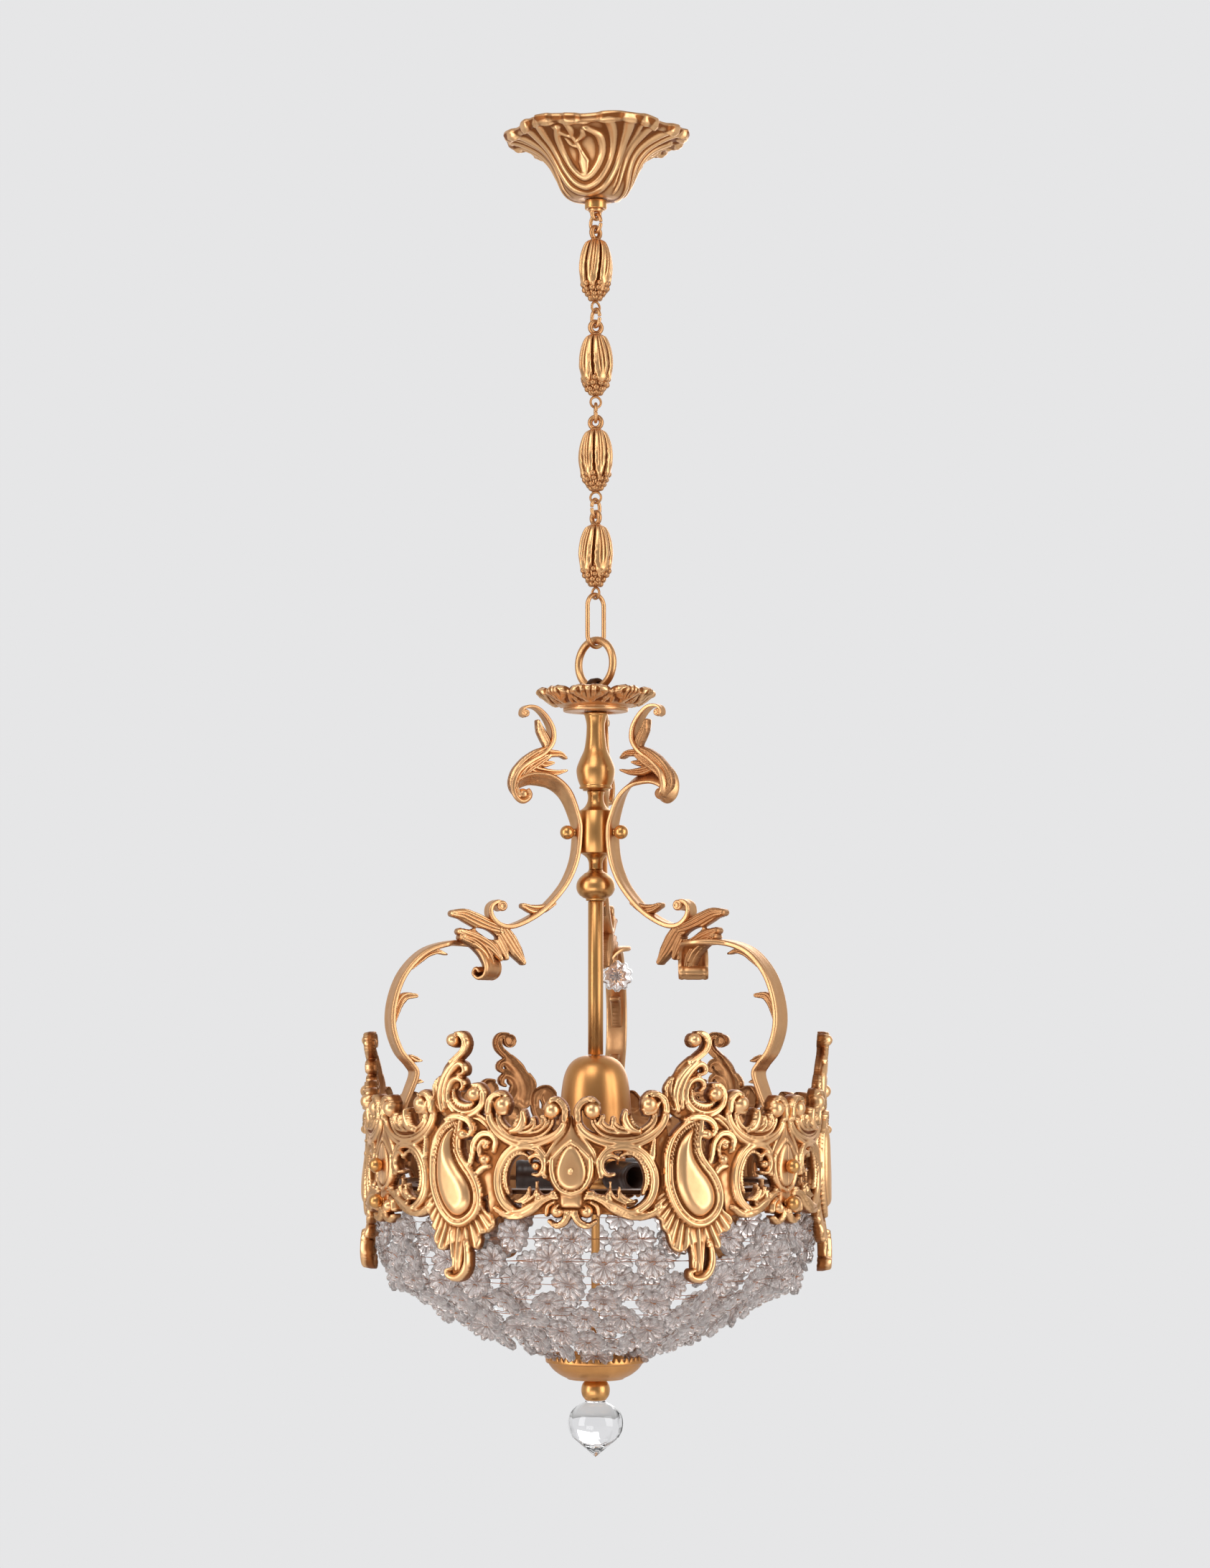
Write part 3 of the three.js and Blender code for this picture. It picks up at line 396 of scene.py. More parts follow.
shank = turned([[0, 0], [4.6, 0], [5, -0.6], [5, -51.3], [5.4, -58.3], [5.4, neck_bottom + 0.5],
                [4.9, neck_bottom], [0, neck_bottom - 0.2]], 32)
stud_eye = wire(circle(4, 40, stud_bar + 4)[:, [1, 0, 2]], 1.6, 12, True, (1, 0, 0))
eyed_stud = at_front(together(shank, stud_eye), ring_angles[0])
piece("stud_with_eye", eyed_stud, chain_gilt, "gilt_bronze", "canopy_stud")


def curve(points, count, loop=False):
    """Catmull-Rom curve through points of any dimension, as count points at even steps of length."""
    points = np.asarray(points, float)
    if loop:
        points = np.vstack([points[-1], points, points[:2]])
    else:
        points = np.vstack([2 * points[0] - points[1], points, 2 * points[-1] - points[-2]])
    spans = len(points) - 3
    place = np.linspace(0, spans, 24 * spans + 1)
    span = np.minimum(place.astype(int), spans - 1)
    s = (place - span)[:, None]
    a, b, c, d = points[span], points[span + 1], points[span + 2], points[span + 3]
    dense = 0.5 * (2 * b + (c - a) * s + (2 * a - 5 * b + 4 * c - d) * s ** 2
                   + (3 * b - a - 3 * c + d) * s ** 3)
    length = np.concatenate([[0], np.cumsum(np.linalg.norm(np.diff(dense, axis=0), axis=1))])
    steps = np.linspace(0, length[-1], count)
    return np.column_stack([np.interp(steps, length, dense[:, k]) for k in range(points.shape[1])])


class Relief:
    """Carved ground on a flat (across, up) grid in millimetres: inside is how far a point lies within
    the metal, and height how far the metal stands above the ground there."""

    def __init__(self, left, right, low, high, cell):
        across = np.linspace(left, right, int(round((right - left) / cell)) + 1)
        up = np.linspace(low, high, int(round((high - low) / cell)) + 1)
        self.across, self.up = np.meshgrid(across, up)
        self.inside = np.full(self.across.shape, -50.0)
        self.height = np.zeros(self.across.shape)

    def window(self, points, reach):
        """The part of the grid that lies within reach of the points."""
        low, high = points.min(axis=0) - reach, points.max(axis=0) + reach
        columns = np.searchsorted(self.across[0], [low[0], high[0]])
        rows = np.searchsorted(self.up[:, 0], [low[1], high[1]])
        return slice(rows[0], rows[1]), slice(columns[0], columns[1])

    def lay(self, where, inside, height, over=False):
        """Adds metal: where it is inside, the higher surface stays, or the new one where it lies over."""
        self.inside[where] = np.maximum(self.inside[where], inside)
        present = inside > 0
        higher = np.where(over, height, np.maximum(self.height[where], height))
        self.height[where] = np.where(present, higher, self.height[where])

    def ribbon(self, points, widths, rise, shape="round", base=0.0, pitch=1.7, over=False):
        """A moulding carried along a curve: its section is a function of the distance across it, over
        its half-width, and of the distance along it."""
        points = np.asarray(points, float)
        length = np.linalg.norm(np.diff(points, axis=0), axis=1).sum()
        line = curve(points, max(int(length / 0.9), 8))
        half = np.interp(np.linspace(0, 1, len(line)), np.linspace(0, 1, len(widths)), widths)
        where = self.window(line, max(widths) + 2)
        here = np.stack([self.across[where], self.up[where]], axis=-1)
        if here.size == 0:
            return
        start, step = line[:-1], np.diff(line, axis=0)
        size = np.sum(step ** 2, axis=1)
        offset = here[:, :, None] - start
        share = np.clip(np.sum(offset * step, axis=-1) / size, 0, 1)
        away = offset - share[..., None] * step
        distance = np.linalg.norm(away, axis=-1)
        nearest = distance.argmin(axis=-1)[..., None]
        distance = np.take_along_axis(distance, nearest, -1)[..., 0]
        share = np.take_along_axis(share, nearest, -1)[..., 0]
        nearest = nearest[..., 0]
        cross = (step[nearest, 0] * (here[..., 1] - start[nearest, 1])
                 - step[nearest, 1] * (here[..., 0] - start[nearest, 0]))
        width = half[nearest] * (1 - share) + half[nearest + 1] * share
        along = (nearest + share) * length / (len(line) - 1)
        height = base + rise * section(shape, distance / width * np.sign(cross), along, pitch)
        self.lay(where, width - distance, height, over)

    def ball(self, across, up, radius, rise, base=0.0, over=False):
        """A round boss: the height of an ellipsoid over its middle."""
        where = self.window(np.array([[across, up]]), radius + 2)
        distance = np.hypot(self.across[where] - across, self.up[where] - up)
        dome = np.sqrt(np.maximum(1 - (distance / radius) ** 2, 0))
        self.lay(where, radius - distance, base + rise * dome, over)

    def depth_in(self, outline):
        """The window round a closed outline and each point's distance from it, positive inside."""
        outline = np.asarray(outline, float)
        where = self.window(outline, 3)
        across, up = self.across[where], self.up[where]
        start, end = outline, np.roll(outline, -1, axis=0)
        step = end - start
        offset = np.stack([across, up], axis=-1)[:, :, None] - start
        share = np.clip(np.sum(offset * step, axis=-1) / np.maximum(np.sum(step ** 2, axis=1), 1e-9), 0, 1)
        distance = np.linalg.norm(offset - share[..., None] * step, axis=-1).min(axis=-1)
        between = (start[:, 1] > up[..., None]) != (end[:, 1] > up[..., None])
        rise = np.where(step[:, 1] == 0, 1, step[:, 1])
        crossing = start[:, 0] + (up[..., None] - start[:, 1]) * step[:, 0] / rise
        odd = (between & (across[..., None] < crossing)).sum(axis=-1) % 2 == 1
        return where, np.where(odd, distance, -distance)

    def panel(self, outline, form, over=False, smooth=60):
        """A shape inside a closed outline: its height is a function of the distance from that outline."""
        where, inside = self.depth_in(curve(outline, smooth + 1, loop=True)[:-1])
        self.lay(where, inside, form(inside, self.across[where], self.up[where]), over)

    def opening(self, outline, smooth=40):
        """Cuts a hole: inside the outline the metal ends."""
        where, inside = self.depth_in(curve(outline, smooth + 1, loop=True)[:-1])
        self.inside[where] = np.minimum(self.inside[where], -inside)


def section(shape, across, along, pitch):
    """The height of a moulding's section, 0 to 1, at a place across it from -1 to 1."""
    arch = np.sqrt(np.maximum(1 - across ** 2, 0))
    if shape == "gouge":
        return arch * (1 - 0.75 * np.exp(-(across / 0.33) ** 2))
    if shape == "fronds":
        return arch * (0.76 + 0.24 * np.cos(4 * np.pi * across))
    if shape == "reeds":
        return arch * (0.78 + 0.22 * np.cos(3 * np.pi * across))
    if shape == "rim":
        return arch * (0.8 + 0.2 * np.cos(2 * np.pi * (across - 0.42)))
    if shape == "ribs":
        return arch * (0.62 + 0.38 * np.abs(np.cos(np.pi * along / pitch)))
    if shape == "flat":
        return 1 - across ** 6
    return arch


def blurred(values, cells, wrap=False):
    """A box blur of a grid, by running sums along each way in turn."""
    for axis in (0, 1):
        mode = "wrap" if wrap and axis == 1 else "edge"
        width = [(0, 0), (0, 0)]
        width[axis] = (cells + 1, cells)
        running = np.cumsum(np.pad(values, width, mode=mode), axis=axis)
        ahead = np.take(running, np.arange(2 * cells + 1, running.shape[axis]), axis=axis)
        behind = np.take(running, np.arange(0, running.shape[axis] - 2 * cells - 1), axis=axis)
        values = (ahead - behind) / (2 * cells + 1)
    return values


def hollows(height, cells, depth, wrap=False):
    """How far a carved surface lies under its surroundings, as a share of a depth, and below 0 where it
    stands above them."""
    sunk = blurred(blurred(height, cells, wrap), cells, wrap) - height
    return np.clip(sunk / depth, -0.6, 1)


def joined_to(mask, row, column):
    """The cells of a mask that hang together with one cell: a spreading front, run until it stops."""
    reached = np.zeros_like(mask)
    reached[row, column] = True
    size = 0
    while reached.sum() > size:
        size = reached.sum()
        for _ in range(24):
            grown = reached.copy()
            grown[1:] |= reached[:-1]
            grown[:-1] |= reached[1:]
            grown[:, 1:] |= reached[:, :-1]
            grown[:, :-1] |= reached[:, 1:]
            reached = grown & mask
    return reached


def casting(relief, front, back, start_cell):
    """A pierced casting: the grid cells inside the metal, whose border points slide along the slope of
    the inside distance to its edge; front and back map (across, up, height) to points."""
    inside, across, up = relief.inside, relief.across.copy(), relief.up.copy()
    cells = (inside[:-1, :-1] + inside[1:, :-1] + inside[:-1, 1:] + inside[1:, 1:]) > 0
    for _ in range(3):
        crossed = cells[:-1, :-1] & cells[1:, 1:] & ~cells[1:, :-1] & ~cells[:-1, 1:]
        crossed |= cells[1:, :-1] & cells[:-1, 1:] & ~cells[:-1, :-1] & ~cells[1:, 1:]
        for rows in (slice(None, -1), slice(1, None)):
            for columns in (slice(None, -1), slice(1, None)):
                cells[rows, columns] |= crossed
    cells = joined_to(cells, *start_cell)
    padded = np.pad(cells, 1)
    around = padded[:-1, :-1].astype(int) + padded[1:, :-1] + padded[:-1, 1:] + padded[1:, 1:]
    border = (around > 0) & (around < 4)
    border[:, 0] = border[:, -1] = False
    cell = across[0, 1] - across[0, 0]
    furthest = 0.62 * cell
    slope_up, slope_across = np.gradient(inside, up[1, 0] - up[0, 0], cell)
    steep = np.maximum(slope_up ** 2 + slope_across ** 2, 0.25)
    move = np.clip(inside / steep, -cell, cell) * border
    across -= np.clip(move * slope_across, -furthest, furthest)
    up -= np.clip(move * slope_up, -furthest, furthest)
    height = np.where(border, np.minimum(relief.height, 0.8), relief.height)
    used = around > 0
    index = np.cumsum(used).reshape(used.shape) - 1
    count = used.sum()
    row, column = np.nonzero(cells)
    corners = [index[row, column], index[row, column + 1], index[row + 1, column + 1], index[row + 1, column]]
    face = np.column_stack(corners)
    walls = []
    sides = {(-1, 0): (0, 1), (0, 1): (1, 2), (1, 0): (2, 3), (0, -1): (3, 0)}
    for (row_step, column_step), (first, second) in sides.items():
        open_side = ~padded[1 + row + row_step, 1 + column + column_step]
        a, b = corners[first][open_side], corners[second][open_side]
        walls.append(np.column_stack([b, a, a + count, b + count]))
    faces = np.concatenate([face, face[:, ::-1] + count, *walls])
    # Painted shade: the carving's hollows are darker and its raised parts lighter, and the whole back gets an
    # even painted shade.
    painted_shade = hollows(height, 3, 1.6)
    points = np.concatenate([front(across, up, height)[used], back(across, up, height)[used]])
    return (points, faces), np.concatenate([painted_shade[used], 0.25 + 0 * painted_shade[used]])


# Canopy: a hollow rococo bell in cast gilt bronze, with swirling flutes, nested scrolls and a rolled,
# lobed rim. It hangs on the collar and hides the ceiling fixing.

gilt_light, gilt_deep = colour(240, 190, 138), colour(142, 86, 46)
canopy_gilt = metal("canopy_gilt", gilt_light, gilt_deep, 0.4, painted_shade=1.5)
canopy_lobes = 3
sector = 88.0
canopy_turn = math.radians(-150)
canopy_reach = 84.0


def canopy_relief():
    """One third of the bell laid flat: a drop and its sprig within three nested scrolls, and a plain
    flute beside them."""
    relief = Relief(0, sector, 0, canopy_reach, 0.75)
    relief.inside[:] = 1
    for widths, rise, line in (
            ([3.6, 3.8, 3.8, 3.4, 3.4, 3.8, 3.8, 3.6], 3.4,
             [(9, 86), (3.5, 60), (0.5, 40), (4, 24), (16, 10), (36, 4), (56, 10), (68, 24), (71.5, 40),
              (69, 60), (64, 86)]),
            ([2.6, 3, 3, 2.8, 2.8, 3, 3, 2.6], 3.2,
             [(17, 82), (11.5, 58), (9.5, 40), (13, 27), (22, 16.5), (36, 12), (50, 16.5), (59.5, 27),
              (63, 40), (60, 58), (54, 80)]),
            ([1.6, 3, 3.4, 3.2, 3.2, 3.4, 3, 1.6], 3.8,
             [(26, 70), (20, 54), (18.5, 40), (24, 27), (36, 20.5), (48, 27), (54, 40), (51, 56), (42, 68)]),
            ([3.4, 3.6, 3, 2], 2.8, [(80, 86), (81, 56), (80.5, 30), (80, 8)]),
            ([1.6, 2, 1.6, 1], 2.2, [(72, 84), (76, 60), (76, 36), (74, 14)])):
        for shift in (-sector, 0, sector):
            relief.ribbon([(a + shift, u) for a, u in line], widths, rise, "round", 0)
    relief.ribbon([(36, 26), (36, 34), (35, 42)], [4.4, 5.6, 2], 4.2)
    for widths, line in (([1.6, 1.5, 1.2], [(35, 40), (33, 50), (31, 58)]),
                         ([0.8, 2, 0.6], [(32, 56), (26, 62), (23, 70)]),
                         ([0.8, 2, 0.6], [(31, 57), (32, 65), (31, 75)]),
                         ([0.6, 1.8, 0.6], [(33, 52), (39, 58), (40, 66)]),
                         ([0.6, 1.6, 0.6], [(34, 46), (28, 50), (26, 57)])):
        relief.ribbon(line, widths, 3)
    for across, up, radius in ((24, 77, 3.4), (33, 79, 3.6), (42, 77, 3)):
        relief.ball(across, up, radius, 3)
    return relief


def canopy_bell():
    """Radius is the bell's profile times a slight wave that swirls with height, plus the relief; the rim
    rolls over into a thick bead whose lobes step in and out, and the inside follows behind."""
    relief = canopy_relief()
    rows = len(relief.height)
    height = np.tile(relief.height[:, :-1], (1, canopy_lobes))
    height = blurred(np.concatenate([height, height[:, :1]], axis=1), 1, True)
    height[:, -1] = height[:, 0]
    share = np.linspace(0, 1, rows)[:, None]
    turn = np.linspace(0, 2 * np.pi, height.shape[1])[None] + canopy_turn
    profile = curve([(13.5, -51), (19, -49.6), (24.5, -44), (29, -34), (34, -24), (41.5, -15.5), (52, -9),
                     (61, -5), (66.5, -3.2)], rows)
    radius, level = profile[:, :1], profile[:, 1:]
    wave = 0.035 * np.cos(2 * canopy_lobes * (turn + 0.4 * (1 - share)))
    step = np.tanh(3 * np.cos(5 * canopy_lobes * turn + 1.4 * np.sin(canopy_lobes * turn))
                   + 1.2 * np.cos(2 * canopy_lobes * turn))
    bead = 3 * np.exp(-((share - 0.95) / 0.04) ** 4) * (1 + 0.3 * step)
    lift = height * (0.3 + 0.55 * share) * np.clip(share * 8, 0, 1) * np.clip((0.96 - share) / 0.06, 0, 1)
    slope_radius, slope_level = np.gradient(profile[:, 0])[:, None], np.gradient(profile[:, 1])[:, None]
    steep = np.hypot(slope_radius, slope_level)
    out_radius, out_level = slope_level / steep, -slope_radius / steep
    outer_radius = radius * (1 + wave * share ** 0.7) + (lift + bead) * out_radius + 1.5 * step * share ** 12
    outer_level = level + (lift + bead) * out_level + 0.9 * np.cos(2 * canopy_lobes * turn + 0.5) * share ** 3
    edge = np.linspace(0, np.pi, 9)[1:-1, None]
    rim_radius = outer_radius[-1] - 1.6 * (1 - np.cos(edge))
    rim_level = np.minimum(outer_level[-1] + 3.4 * np.sin(edge), -0.1)
    inner_radius = outer_radius[::-1][1:] - 2.6 - lift[::-1][1:] * out_radius[::-1][1:] * 0.8
    inner_level = outer_level[::-1][1:] + 1.2 - lift[::-1][1:] * out_level[::-1][1:] * 0.8
    hole = np.full((2, height.shape[1]), 6.2)
    hole_level = np.array([[-49.4], [-51]]) + 0 * turn
    radii = np.concatenate([hole[1:], outer_radius, rim_radius, inner_radius, hole[:1], hole[1:]])
    levels = np.concatenate([hole_level[1:], outer_level, rim_level, np.maximum(inner_level, -49.4),
                             hole_level[:1], hole_level[1:]])
    sunk = np.zeros(radii.shape)
    # Painted shade in the carving's hollows and beside the rim's bead, lighter on raised parts, and an even
    # painted shade over the whole inside.
    sunk[1:1 + rows] = hollows(height + bead * 0.6, 4, 1.3, True)
    sunk[1 + rows + len(edge):] = 0.3
    return revolved(radii, np.minimum(levels, -0.05), turn), sunk.reshape(-1)


bell_shape, bell_sunk = canopy_bell()
piece("canopy_bell", bell_shape, canopy_gilt, "gilt_bronze", "canopy_shell", painted_shade=bell_sunk)


# Collar: a turned ring in polished bronze. It slides on the stud's shank, clamps the canopy from below
# and covers its hole.

collar_outline = rounded([(5.7, -51.3), (8.2, -51.3), (8.2, -58), (5.7, -58)], 0.8)
piece("canopy_ring", ring_turned(collar_outline, 64), polished_gilt, "polished_bronze", "canopy_collar")


# Chain: acorns cast in gilt bronze, sheathed in long leaves over a cluster of berries, each with an eye
# above and below. Split jump rings of gilt wire join them, then one long plain link and a large ring.

acorn_length, acorn_radius = 46.85, 13.15
leaves = 6
# Each eye's and ring's size along the middle of its wire, the wire's own radius, and the distance of the
# eyes from the acorn's ends.
upper_radius, upper_wire, upper_rise = 4.3, 1.9, 4.8
lower_radius, lower_wire, lower_drop = 4.05, 0.95, 4.6
split_half, split_wire = 6.6, 1.4
long_length, long_straight, long_radius, long_wire = 38.9, 10.85, 8.6, 1.7
hanging_radius, hanging_wire = 17.6, 2.9
hanging_turn = 51.7


def sphere(centre, radius, columns=12, rows=8):
    """A ball as a grid of longitude and latitude."""
    lat = np.linspace(-np.pi / 2, np.pi / 2, rows + 1)[:, None]
    lon = np.linspace(0, 2 * np.pi, columns + 1)[None]
    grid = np.stack([np.cos(lat) * np.cos(lon), np.cos(lat) * np.sin(lon), np.sin(lat) + 0 * lon], axis=-1)
    return surface(np.asarray(centre) + radius * grid)


def acorn_body(seed):
    """Radius is the acorn's profile plus leaves that part in slits and narrow to pointed, flared
    tips: each an arch across its width with a double groove at its midrib and a ruffled edge. The second
    result is painted shade, deepest in the slits and the hollows of the leaves."""
    profile = curve([(0, 0), (3.2, -0.2), (6.2, -2.4), (8.6, -6.6), (10.4, -12.6), (11.3, -19.5), (11.1, -26),
                     (9.8, -32), (7.8, -37), (5.6, -42), (3, -45.9), (0, -46.85)], 96)
    turn = np.linspace(0, 2 * np.pi, 193)[None]
    share = (-profile[:, 1:] / acorn_length)
    leaf = (leaves * turn / (2 * np.pi) + 0.4 * share * np.sin(turn + 2 * seed) + 0.3 * seed) % 1 * 2 - 1
    narrow = np.clip((share - 0.46) / (0.38 + 0.03 * np.cos(2 * turn + seed)), 0, 0.999)
    half = 0.93 * np.sqrt(1 - narrow ** 2) + 0.05 * np.sin(44 * share + 3 * seed) * (share > 0.34)
    place = np.abs(leaf) / np.maximum(half, 0.05)
    on_leaf = np.clip((1 - place) / 0.14, 0, 1)
    arch = 1.6 * np.maximum(1 - np.minimum(place, 1) ** 2.6, 0) ** 0.5
    ruffle = (0.4 * np.sin(30 * share + 4 * seed + 3 * np.sign(leaf)) * np.minimum(place, 1) ** 2
              * np.clip((share - 0.4) / 0.1, 0, 1))
    grooves = -0.95 * np.exp(-((np.abs(leaf) - 0.2) / 0.08) ** 2) * np.clip((0.66 - share) / 0.15, 0, 1)
    flare = 0.8 * np.exp(-((share - 0.74) / 0.06) ** 2)
    slit = -1.7 * np.exp(-((np.abs(leaf) - 1) / 0.09) ** 2) * np.clip((share - 0.06) / 0.06, 0, 1)
    carve = ((arch + ruffle + grooves + flare) * on_leaf + slit) * np.clip(share / 0.05, 0, 1)
    radius = np.where(profile[:, :1] < 0.01, 0, np.minimum(profile[:, :1] + carve, acorn_radius + 0.3))
    # Painted shade in the leaves' hollows and, strongest, in the slits between them.
    sunk = hollows(carve, 4, 0.9, True) + np.clip(-slit, 0, 1) * 0.7
    return revolved(radius, profile[:, 1:], turn), np.clip(sunk, -0.5, 1.3).reshape(-1)


def berries(seed):
    """Small balls set in staggered rings on the acorn's lower end."""
    random = np.random.default_rng(seed)
    found = []
    for level, count, ring in ((-34.4, 11, 9), (-38, 10, 7.7), (-41.4, 8, 5.8), (-44.4, 5, 3.4)):
        for number in range(count):
            turn = 2 * math.pi * (number + 0.5 * (int(level) % 2) + 0.3 * random.random()) / count
            reach = ring + 0.5 * random.random()
            centre = (reach * math.cos(turn), reach * math.sin(turn), level + 1.2 * (random.random() - 0.5))
            found.append(sphere(centre, 2.15 + 0.5 * random.random(), 10, 6))
    return together(*found)


def acorn_link(seed):
    body, sunk = acorn_body(seed)
    upper_line = circle(upper_radius, 40, upper_rise)[:, [1, 0, 2]]
    lower_line = circle(lower_radius, 40, -acorn_length - lower_drop)[:, [1, 0, 2]]
    upper = wire(upper_line, upper_wire, 12, True, (1, 0, 0))
    lower = wire(lower_line, lower_wire, 10, True, (1, 0, 0))
    root = turned([[0, 1.4], [2.6, 1.2], [3.6, 0.1], [4.6, -0.8], [0, -1.6]], 24)
    parts = [body, berries(seed), upper, lower, root]
    whole = together(*parts)
    # Berries, eyes and root get a little even painted shade.
    sunk = np.concatenate([sunk] + [np.full(len(points), 0.12) for points, _ in parts[1:]])
    return whole, sunk


def lifted(shape, height):
    """A shape moved up or down."""
    points, faces = shape
    return points + np.array([0, 0, height]), faces


def jump_ring():
    """An oval of wire that stops short of closing, with the small gap of a split ring at its side."""
    turn = np.pi / 2 + 0.053 + (2 * np.pi - 0.106) * np.linspace(0, 1, 61)
    line = np.column_stack([5.35 * np.sin(turn), 0 * turn, split_half * np.cos(turn)])
    ends = np.clip(np.minimum(np.arange(61), np.arange(61)[::-1]) / 1.5 + 0.75, 0, 1)
    return wire(line, split_wire * ends, 12)


bar_height, bar_wire = stud_bar, 1.6
ring_nodes = ("top_ring", "jump_ring_1", "jump_ring_2", "jump_ring_3")
for number, (ring_node, ring_angle, link_angle) in enumerate(zip(ring_nodes, ring_angles, link_angles), 1):
    ring_top = bar_height + bar_wire + gap + split_wire
    ring_bottom = ring_top - 2 * split_half
    split_ring = lifted(jump_ring(), (ring_top + ring_bottom) / 2)
    piece(f"split_ring_{number}", at_front(split_ring, ring_angle), chain_gilt, "gilt_bronze", ring_node)
    body_top = ring_bottom + split_wire + gap + upper_wire - upper_radius - upper_rise
    link, link_sunk = acorn_link(number)
    piece(f"acorn_link_{number}", at_front(lifted(link, body_top), link_angle), chain_gilt, "gilt_bronze",
          f"chain_link_{number}", painted_shade=link_sunk)
    bar_height, bar_wire = body_top - acorn_length - lower_drop - lower_radius, lower_wire

long_top = bar_height + bar_wire + gap + long_wire
long_bottom = long_top - long_length
bend = np.linspace(0, np.pi, 25)
half_turn = np.column_stack([long_radius * np.cos(bend), 0 * bend,
                             long_straight + long_radius * np.sin(bend)])
long_line = np.vstack([half_turn, -half_turn])
long_link = lifted(wire(long_line, long_wire, 14, True), (long_top + long_bottom) / 2)
piece("plain_long_link", at_front(long_link, hanging_turn - 90), chain_gilt, "gilt_bronze", "long_link")

ring_centre = long_bottom + long_wire + gap + hanging_wire - hanging_radius
hanging_ring = wire(circle(hanging_radius, 96, ring_centre), hanging_wire, 20, True)
piece("hanging_ring", at_front(hanging_ring, hanging_turn), chain_gilt, "gilt_bronze", "suspension_ring")


# Ring stud: a dark bronze tongue with a domed top, screwed on the rod. The hanging ring runs through its
# hole, which leaves the chandelier room to swing.

dark_bronze = metal("dark_bronze", colour(96, 62, 40), colour(46, 28, 18), 0.42, 0.00006, 0.4)
stud_half, stud_hole = 7.5, 4.2
hole_level = ring_centre - hanging_radius + hanging_wire + 3 * gap - stud_hole
stud_base = hole_level - 14.7


def ring_stud():
    """Loops between the tongue's outline and its hole share their angles; the rim is rounded by
    easing the outline in at both faces, and the hole's edge is rounded the same way."""
    turn = np.linspace(0, 2 * np.pi, 65)
    direction = np.stack([np.cos(turn), np.sin(turn)], axis=-1)
    foot = hole_level - stud_base
    reach = np.full(turn.shape, stud_half)
    down = direction[:, 1] < 0
    sideways = stud_half / np.maximum(np.abs(direction[:, 0]), 1e-6)
    below = foot / np.maximum(-direction[:, 1], 1e-6)
    reach = np.where(down, np.minimum(sideways, below), reach)
    loops = []
    for inset, depth in ((1.6, 4), (0.5, 3.5), (0, 2.4), (0, -2.4), (0.5, -3.5), (1.6, -4)):
        edge = direction * (reach - inset)[:, None]
        loops.append(np.column_stack([np.full(len(turn), depth), edge[:, 0], edge[:, 1] + hole_level]))
    for grow, depth in ((0.9, -4), (0.2, -3.5), (0, -2.6), (0, 2.6), (0.2, 3.5), (0.9, 4)):
        edge = direction * (stud_hole + grow)
        loops.append(np.column_stack([np.full(len(turn), depth), edge[:, 0], edge[:, 1] + hole_level]))
    loops.append(loops[0])
    grid = np.array(loops)
    grid[:, -1] = grid[:, 0]
    return surface(grid)


stud_points, stud_faces = ring_stud()
stud_shape = at_front((stud_points[:, [1, 0, 2]], stud_faces[:, ::-1]), hanging_turn + 90)
piece("ring_tongue", stud_shape, dark_bronze, "dark_bronze", "ring_stud")


# Leaf cup: a cast dish of ten acanthus leaves that curl over at its rim, on a plain flange.
# It is clamped on the rod between the ring stud and the baluster.

cup_gilt = metal("cup_gilt", gilt_light, gilt_deep, 0.38, painted_shade=1.4)
cup_leaves = 10
cup_flange = 2.8
cup_level = stud_base - gap - cup_flange


